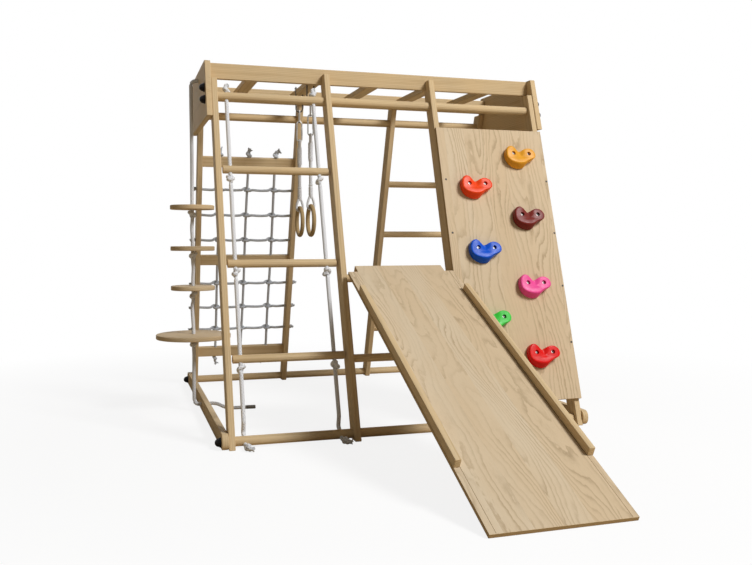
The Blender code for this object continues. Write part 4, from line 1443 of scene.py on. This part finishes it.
@dataclass
class ClimbingWall(SubAssembly):
    """The plywood wall with its seven holds."""

    thickness: float = 0.0145
    screw_face: float = -0.0148
    screw_columns: tuple[tuple[str, float], ...] = (("right", 1.351), ("left", 0.905))
    screw_heights: Floats = (0.955, 0.742, 0.531, 0.313)
    hold_depth: float = 0.034
    hold_heart: Pair = (0.0, -0.008)
    half_height: float = 0.040
    top_share: float = 0.82
    chin_top: float = -0.012
    chin_height: float = 0.043
    chin_lift: float = 0.017
    cleft_foot: float = -0.022
    cleft_rise: float = 0.03
    cleft_x: float = -0.004
    cleft_width: float = 0.015
    cleft_depth: float = 0.0085
    sockets: Pairs = ((-0.033, 0.006), (0.035, 0.005))
    socket_floor: float = 0.0185
    socket_size: Triple = (0.0083, 0.0086, 0.030)
    outline_step: float = 0.0042
    holds: tuple[tuple[str, float, float, Colour], ...] = (
        ("yellow", 1.2385, 1.054, (0.78, 0.355, 0.028)),
        ("orange", 1.0255, 0.926, (0.86, 0.066, 0.010)),
        ("maroon", 1.2375, 0.803, (0.19, 0.024, 0.018)),
        ("blue", 1.0275, 0.671, (0.006, 0.090, 0.62)),
        ("pink", 1.2195, 0.533, (0.86, 0.085, 0.33)),
        ("green", 1.0285, 0.407, (0.05, 0.58, 0.06)),
        ("red", 1.2135, 0.270, (0.74, 0.010, 0.008)))
    outline: Pairs = (
        (-0.008, 0.0150), (0.004, 0.0190), (0.018, 0.0260), (0.033, 0.0300), (0.048, 0.0275),
        (0.059, 0.0195), (0.065, 0.0070), (0.064, -0.0060), (0.056, -0.0165), (0.043, -0.0245),
        (0.030, -0.0320), (0.020, -0.0420), (0.009, -0.0510), (-0.005, -0.0550),
        (-0.021, -0.0535), (-0.036, -0.0480), (-0.050, -0.0385), (-0.060, -0.0250),
        (-0.0655, -0.0080), (-0.0655, 0.0090), (-0.0615, 0.0240), (-0.053, 0.0355),
        (-0.042, 0.0400), (-0.031, 0.0365), (-0.020, 0.0255))
    rings: Pairs = (
        (0.10, 1.0), (0.50, 1.0), (0.84, 1.0), (0.93, 0.985), (0.98, 0.955), (1.0, 0.90),
        (1.0, 0.72), (1.0, 0.50), (1.0, 0.28), (1.0, 0.10))

    def board(self) -> None:
        """The wall's board, whose edges show the plies, with its screws."""
        out = Side.FRONT.outward()
        self.shop.panel("climbing_wall", Run.FRONT_SLOPE, out)
        for column, x in self.screw_columns:
            for number, height in enumerate(self.screw_heights, start=1):
                place = Side.FRONT.point(x, along(height, self.screw_face), self.screw_face)
                self.shop.screw(WALL_SCREW, f"wall_screw_{column}_{number}", place, out)

    def front_of(self, x: float, y: float, share: float) -> Pair:
        """Where a place on a hold's stack of outlines goes as the hold leans out.

        Args:
            x: Sideways from its middle.
            y: Up from its middle.
            share: 0 at the board to 1 at the hold's front.

        Returns:
            The place's height up the board and its depth, in metres.
        """
        chin = clamped((self.chin_top - y) / self.chin_height)
        lift = self.chin_lift * chin * share ** 1.5
        down = (self.half_height - y) / (2 * self.half_height)
        depth = self.hold_depth * (self.top_share + (1.0 - self.top_share) * down)
        cleft = clamped((y - self.cleft_foot) / self.cleft_rise)
        dip = self.cleft_depth * math.exp(-((x - self.cleft_x) / self.cleft_width) ** 2) * cleft
        return y + lift, share * (depth - dip)

    def blank(self) -> Piece:
        """One hold at the origin: its back on Z = 0, its front at +Z, its top towards +Y.

        Returns:
            The hold, without its sockets.
        """
        corners = [(x, y, 0.0) for x, y in self.outline]
        rim = between([*corners, corners[0]], self.outline_step)[:-1]
        deselect()
        bpy.ops.mesh.primitive_circle_add(vertices=len(rim), radius=1.0, fill_type="NGON")
        piece = bpy.context.object
        with editing(piece) as shape:
            for vert, place in zip(shape.verts, rim):
                vert.co = place
            bmesh.update_edit_mesh(piece.data)
            bpy.ops.mesh.select_all(action="SELECT")
            height, width = 0.0, 1.0
            for new_height, new_width in self.rings:
                bpy.ops.mesh.extrude_region_move()
                scale = new_width / width
                bpy.ops.transform.resize(value=(scale, scale, 1.0),
                                         center_override=(*self.hold_heart, 0.0))
                bpy.ops.transform.translate(value=(0.0, 0.0, new_height - height))
                height, width = new_height, new_width
            bpy.ops.mesh.merge(type="CENTER")
        with editing(piece) as shape:
            for vert in shape.verts:
                vert.co.y, vert.co.z = self.front_of(*vert.co)
            bmesh.update_edit_mesh(piece.data)
            bpy.ops.mesh.select_all(action="SELECT")
            bpy.ops.mesh.normals_make_consistent(inside=False)
        return piece

    def pattern(self) -> Piece:
        """The hold's finished shape with its two sockets.

        Returns:
            The hold.
        """
        piece = self.blank()
        apply_modifier(piece, "SUBSURF", levels=1, render_levels=1)
        floor, rim, depth = self.socket_size
        profile = [(0.0, 0.0), (floor, 0.0), (rim, depth), (0.0, depth)]
        for reach, rise in self.sockets:
            cutter = lathe("socket", profile, (reach, rise, self.socket_floor), steps=32)
            apply_modifier(piece, "BOOLEAN", operation="DIFFERENCE", object=cutter,
                           solver="EXACT")
            bpy.data.objects.remove(cutter)
        return shade(piece, 38.0, weighted=False)

    def build(self) -> None:
        """Make the board and the holds."""
        self.board()
        pattern = self.pattern()
        up, out = Side.FRONT.up(), Side.FRONT.outward()
        turn = Matrix((X, up, out)).transposed()
        face = -self.thickness - FACE_GAP
        for name, x, height, colour in self.holds:
            foot = Side.FRONT.point(x, along(height, face), face)
            piece = added(f"hold_{name}_moulded", pattern.data.copy())
            piece.data.transform(Matrix.Translation(foot) @ turn.to_4x4())
            self.shop.dress(piece, Plastic(name, colour), "frame", f"{name}_plastic",
                            f"hold_{name}")
            for number, (reach, rise) in enumerate(self.sockets, start=1):
                place = foot + turn @ Vector((reach, rise, self.socket_floor + 0.0002))
                self.shop.screw(HOLD_SCREW, f"hold_{name}_screw_{number}", place, out)
        bpy.data.objects.remove(pattern)


@dataclass
class Slide(SubAssembly):
    """The slide's board, its guards and the dark seams beside them, whose darkness is painted
    contact shadow.
    """

    pivot: Triple = (0.6745, 0.22363, 0.569)
    face: float = 0.0457
    seam_x: float = 0.1915
    seam_start: float = -0.0344
    seam_end: float = -1.3634
    seam_size: Pair = (0.0011, 0.0004)
    # Painted contact shadow: the seams' dark colour stands for the shade where a guard meets the
    # board
    seam_shadow_look: Softwood = Softwood(Run.DOWN_SLIDE, (0.24, 0.16, 0.085), (0.17, 0.11, 0.055))

    def seam(self, side: str, x: float) -> None:
        """The thin dark strip in line with a guard's inner face, where it meets the board: painted
        contact shadow.

        Args:
            side: The side that it is named after.
            x: Its place across the slide.
        """
        middle = SLIDE_TURN @ Vector((x, (self.seam_start + self.seam_end) / 2, self.face))
        wide, high = self.seam_size
        deselect()
        bpy.ops.mesh.primitive_cube_add(size=1.0, location=at(*self.pivot) + middle,
                                        rotation=SLIDE_TURN.to_euler(),
                                        scale=(wide, self.seam_start - self.seam_end, high))
        self.shop.dress(fresh(f"slide_seam_{side}"), self.seam_shadow_look, "slide", "birch_plywood")

    def build(self) -> None:
        """Make the board, the guards and the seams."""
        self.shop.panel("slide_board", Run.DOWN_SLIDE, SLIDE_TURN @ Z, "slide")
        for side, x in (("left", -self.seam_x), ("right", self.seam_x)):
            self.shop.eased(f"slide_guard_{side}", Softwood(Run.DOWN_SLIDE), "birch_plywood",
                            "slide", 0.002)
            self.seam(side, x)


@dataclass
class RopeSeats(SubAssembly):
    """Four round seats on one knotted rope outside the left end."""

    rope_x: float = -0.052
    heights: Floats = (0.8475, 0.6783, 0.5151, 0.3146)
    radii: Floats = (0.0895, 0.0895, 0.0895, 0.152)
    thickness: float = 0.0185
    ease: float = 0.0035
    bore: float = 0.0087
    wood: Softwood = Softwood(Run.LENGTHWISE, (0.60, 0.47, 0.30), (0.46, 0.33, 0.19))
    bend: float = 0.020
    plate_knot_x: float = 0.019
    plate_tail: Triple = (0.024, 0.0, -0.004)
    plate_hole: float = 1.365
    base_hole: float = 0.028
    slack: Floats = (-0.002, 0.002, -0.004, 0.001)
    knot_turns: Pair = (0.8, 1.3)
    upper_heights: Pair = (1.25, 1.08)
    lower_height: float = 0.15
    above_seat: float = 0.035
    below_knot: float = 0.055
    tail_route: tuple[Point, ...] = (
        (0.0, MIDDLE_Y, 0.028), (0.008, MIDDLE_Y, 0.028), (0.024, 0.7215, 0.0285),
        (0.045, 0.7155, 0.025), (0.066, 0.707, 0.0155), (0.088, 0.702, 0.009),
        (0.120, 0.701, 0.008), (0.160, 0.701, 0.008), (0.198, 0.699, 0.008))
    tail_step: float = 0.006
    sleeve: float = 0.038

    def seat(self, number: int) -> None:
        """One disc with rounded rims and a bore for the rope.

        Args:
            number: The seat's number, from 0 at the top.
        """
        radius, half, ease = self.radii[number], self.thickness / 2, self.ease
        lower = [(self.bore, -half), *arc(ease, -90, 0, 4, (radius - ease, ease - half))]
        profile = lower + [(reach, -height) for reach, height in reversed(lower)]
        place = at(self.rope_x, MIDDLE_Y, self.heights[number])
        piece = lathe(f"seat_{number + 1}_disc", profile, place, steps=96, closed=True)
        self.shop.dress(piece, self.wood, f"seat_{number + 1}", "pine", f"rope_seat_{number + 1}")

    def quarter(self, height: float, rise: float) -> list[Vector]:
        """The bend between a hole in the end and the hanging rope."""
        centre = at(self.rope_x + self.bend, MIDDLE_Y, height + rise * self.bend)
        return [centre + Vector((x, 0.0, -rise * z)) for x, z in arc(self.bend, 90, 180, 5)]

    def rope(self) -> None:
        """The rope from its knot inside the end plate to the base rail's hole."""
        start = at(self.plate_knot_x, MIDDLE_Y, self.plate_hole)
        points = [start + Vector(self.plate_tail), *overhand(start, -X, Z, ROPE_KNOT),
                  at(-0.012, MIDDLE_Y, self.plate_hole), *self.quarter(self.plate_hole, -1),
                  at(self.rope_x, MIDDLE_Y, self.upper_heights[0]),
                  at(self.rope_x + 0.001, MIDDLE_Y + 0.002, self.upper_heights[1])]
        turn, turn_step = self.knot_turns
        for index, (height, slack) in enumerate(zip(self.heights, self.slack)):
            level = height - self.thickness / 2 - KNOT_REACH
            side = Matrix.Rotation(turn + turn_step * index, 3, "Z") @ X
            points += [at(self.rope_x, MIDDLE_Y, height + self.above_seat),
                       *overhand(at(self.rope_x, MIDDLE_Y, level), -Z, side, ROPE_KNOT,
                                 (1, -1)[index % 2]),
                       at(self.rope_x, MIDDLE_Y, level - KNOT_END),
                       at(self.rope_x + slack, MIDDLE_Y, level - self.below_knot)]
        points += [at(self.rope_x, MIDDLE_Y, self.lower_height),
                   *reversed(self.quarter(self.base_hole, 1)),
                   at(-0.012, MIDDLE_Y, self.base_hole), at(-0.002, MIDDLE_Y, self.base_hole)]
        rope = tube("seat_rope_braid", between(points, ROPE_STEP), ROPE_RADIUS)
        self.shop.dress(rope, WHITE_ROPE, "frame", "white_rope", "seat_rope")

    def tail(self) -> None:
        """The rope's free end, which slopes out of the base rail's hole and lies on the floor."""
        points = between([at(*place) for place in self.tail_route], self.tail_step)
        rope = tube("seat_rope_tail", points, ROPE_RADIUS)
        self.shop.dress(rope, WHITE_ROPE, "frame", "white_rope", "seat_rope")
        way = (points[-1] - points[-4]).normalized()
        profile = rod_profile(ROPE_RADIUS * 1.05, self.sleeve + 0.002, 0.002)
        end = lathe("seat_rope_sleeve", profile, points[-1] - way * self.sleeve, way, 24)
        self.shop.dress(end, CUT_END)

    def build(self) -> None:
        """Make the seats and their rope."""
        for number in range(len(self.heights)):
            self.seat(number)
        self.rope()
        self.tail()


@dataclass
class HandRings(SubAssembly):
    """Two wooden rings on ropes that hang from hooks through a slat."""

    x: float = 0.4165
    ys: Pair = (0.80, 0.58)
    slat_top: float = 1.367
    hook_bottom: float = 1.2695
    hook_half: float = 0.0145
    leg_tip: float = 0.0095
    leg_foot: float = 0.02
    wire: float = 0.003
    washer: Triple = (0.0068, 0.0012, 0.0003)
    nut: Triple = (0.0054, 0.0042, 0.0006)
    shackle: Floats = (0.0075, 1.2300, 1.2705, 0.0025)
    pin: Triple = (0.0028, 0.021, 0.0006)
    pin_place: Point = (0.0, -0.0105, 1.2290)
    snap: Floats = (0.0108, 1.1535, 1.2160, 0.003)
    snap_spread: float = 0.0003
    gate: Triple = (0.0038, 0.034, 0.0012)
    gate_place: Point = (0.0109, 0.0, 1.168)
    upper_eye: Floats = (0.0092, 1.1215, 1.1385, 0.0046)
    twists: tuple[Floats, ...] = (
        (1.035, 1.117, 0.0106, 0.040), (0.925, 1.044, 0.0076, 0.030), (0.886, 0.938, 0.0094, 0.036))
    strand_step: float = 0.0022
    strand_share: float = 0.52
    strand_fade: float = 0.010
    strand_pinch: float = 0.35
    bindings: Pairs = ((1.113, 0.0080), (0.940, 0.0078))
    binding_lean: float = 0.0016
    binding_wire: float = 0.0024
    eye_height: float = 0.8535
    eye_radius: float = 0.0141
    eye_rope: float = 0.0050
    eye_neck: Pairs = (
        (0.96, 0.8625), (0.80, 0.873), (0.55, 0.884), (0.30, 0.895))
    ring_radius: float = 0.0595
    ring_tube: float = 0.0088
    ring_wood: Softwood = Softwood(Run.DEPTHWISE, (0.42, 0.31, 0.165), (0.28, 0.19, 0.09))

    def link(self, name: str, line: Vector, across: Vector,
             size: Floats, spread: float = 0.0) -> Piece:
        """A closed link: two half circles, the lower one wider by the spread.

        Args:
            name: The piece's name.
            line: Any place on the rope's upright line, at zero height.
            across: Unit direction across the link.
            size: The upper half circle's radius, the heights of the lower and of the upper
                half circle's middle, and the radius of the wire.
            spread: How much wider the lower half circle is.

        Returns:
            The link.
        """
        half, low, high, wire = size
        halves = arc(half, 0, 180, 10, (0.0, high))
        halves += arc(half + spread, 180, 360, 10, (0.0, low))
        return tube(name, [line + (across * reach + z * Z) for reach, z in halves], wire, True)

    def hook(self, number: int, line: Vector) -> None:
        """The dark hook through the slat, with a nut and a washer on each leg.

        Args:
            number: The ring's number.
            line: The foot of the rope's upright line.
        """
        half, bottom = self.hook_half, self.hook_bottom + self.hook_half
        left = [(-half, self.slat_top + self.leg_tip), (-half, bottom + self.leg_foot)]
        right = [(-x, z) for x, z in reversed(left)]
        route = [*left, *arc(half, 180, 360, 12, (0.0, bottom)), *right]
        parts = [tube("hook", [line + Vector((x, 0.0, z)) for x, z in route], self.wire)]
        for reach in (-half, half):
            foot = line + Vector((reach, 0.0, self.slat_top))
            parts.append(lathe("washer", rod_profile(*self.washer, 2), foot, steps=24))
            parts.append(lathe("nut", rod_profile(*self.nut, 2), foot + self.washer[1] * Z,
                               steps=6, smooth=20.0))
        piece = joined(f"ring_hook_{number}_steel", parts)
        self.shop.dress(piece, DARK_STEEL, "frame", "dark_steel", f"ring_hook_{number}")

    def links(self, number: int, line: Vector) -> None:
        """The shackle on the hook and the snap link below it.

        Args:
            number: The ring's number.
            line: The foot of the rope's upright line.
        """
        parts = [self.link("shackle", line, Y, self.shackle),
                 lathe("pin", rod_profile(*self.pin, 2), line + Vector(self.pin_place), Y, 20),
                 self.link("snap_link", line, X, self.snap, self.snap_spread),
                 lathe("gate", rod_profile(*self.gate, 3), line + Vector(self.gate_place), Z, 20)]
        self.shop.dress(joined(f"snap_link_{number}", parts), BRIGHT_STEEL, f"swing_{number}",
                        "dark_steel", f"ring_rope_{number}")

    def twist(self, line: Vector, low: float, high: float, radius: float,
              pitch: float) -> list[Piece]:
        """Three strands wound round one another between two heights.

        Args:
            line: Any place on the rope's upright line, at zero height.
            low: Height of the lower end.
            high: Height of the upper end.
            radius: Radius of the whole rope.
            pitch: Height of one whole turn.

        Returns:
            The strands.
        """
        parts, steps = [], round((high - low) / self.strand_step)
        for strand in range(3):
            points = []
            for step in range(steps + 1):
                z = low + (high - low) * step / steps
                turn = math.tau * (z - low) / pitch + math.tau * strand / 3
                fade = min(1.0, (z - low) / self.strand_fade, (high - z) / self.strand_fade)
                reach = 0.5 * radius * (self.strand_pinch + (1.0 - self.strand_pinch) * fade)
                points.append(line + Vector((reach * math.cos(turn), reach * math.sin(turn), z)))
            parts.append(tube("strand", points, radius * self.strand_share, sides=10))
        return parts

    def rope(self, number: int, line: Vector) -> None:
        """The spliced rope: an eye on the snap link, a thick splice, an eye on the ring.

        Args:
            number: The ring's number.
            line: The foot of the rope's upright line.
        """
        parts = [self.link("upper_eye", line, Y, self.upper_eye)]
        for size in self.twists:
            parts += self.twist(line, *size)
        for height, swell in self.bindings:
            band = [line + Vector((x, y, height + self.binding_lean * x / swell))
                    for x, y in arc(swell, 0, 337.5, 15)]
            parts.append(tube("binding", band, self.binding_wire, cyclic=True, sides=8))
        neck = [(self.eye_radius * share, height) for share, height in self.eye_neck]
        eye = [*arc(self.eye_radius, 180, 360, 12, (0.0, self.eye_height)), *neck,
               *((-x, z) for x, z in reversed(neck))]
        parts.append(tube("lower_eye", [line + Vector((x, 0.0, z)) for x, z in eye],
                          self.eye_rope, cyclic=True))
        self.shop.dress(joined(f"ring_rope_{number}_braid", parts), WHITE_ROPE,
                        f"swing_{number}", "white_rope", f"ring_rope_{number}")

    def ring(self, number: int, line: Vector) -> None:
        """The wooden ring in its eye.

        Args:
            number: The ring's number.
            line: The foot of the rope's upright line.
        """
        deselect()
        bpy.ops.mesh.primitive_torus_add(
            major_segments=96, minor_segments=24, major_radius=self.ring_radius,
            minor_radius=self.ring_tube, location=line + (self.eye_height - self.ring_radius) * Z,
            rotation=(0, math.pi / 2, 0))
        piece = shade(fresh(f"ring_{number}_wood"), 60.0, weighted=False)
        self.shop.dress(piece, self.ring_wood, f"hand_ring_{number}", "pine", f"ring_{number}")

    def build(self) -> None:
        """Make both rings with all that carries them."""
        for number, y in enumerate(self.ys, start=1):
            line = at(self.x, y, 0.0)
            self.hook(number, line)
            self.links(number, line)
            self.rope(number, line)
            self.ring(number, line)


def main() -> None:
    """Load the frame and dress every part of it."""
    logging.basicConfig(level=logging.INFO, format="%(name)s: %(message)s")
    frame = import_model()
    Studio().build()
    shop = Workshop(frame["nodes"], random.Random(7))
    for kind in (RopeSeats, RopeLadder, RopeNet, HandRings, WoodenFrame, ClimbingWall, Slide):
        kind(shop).build()


if __name__ == "__main__":
    main()
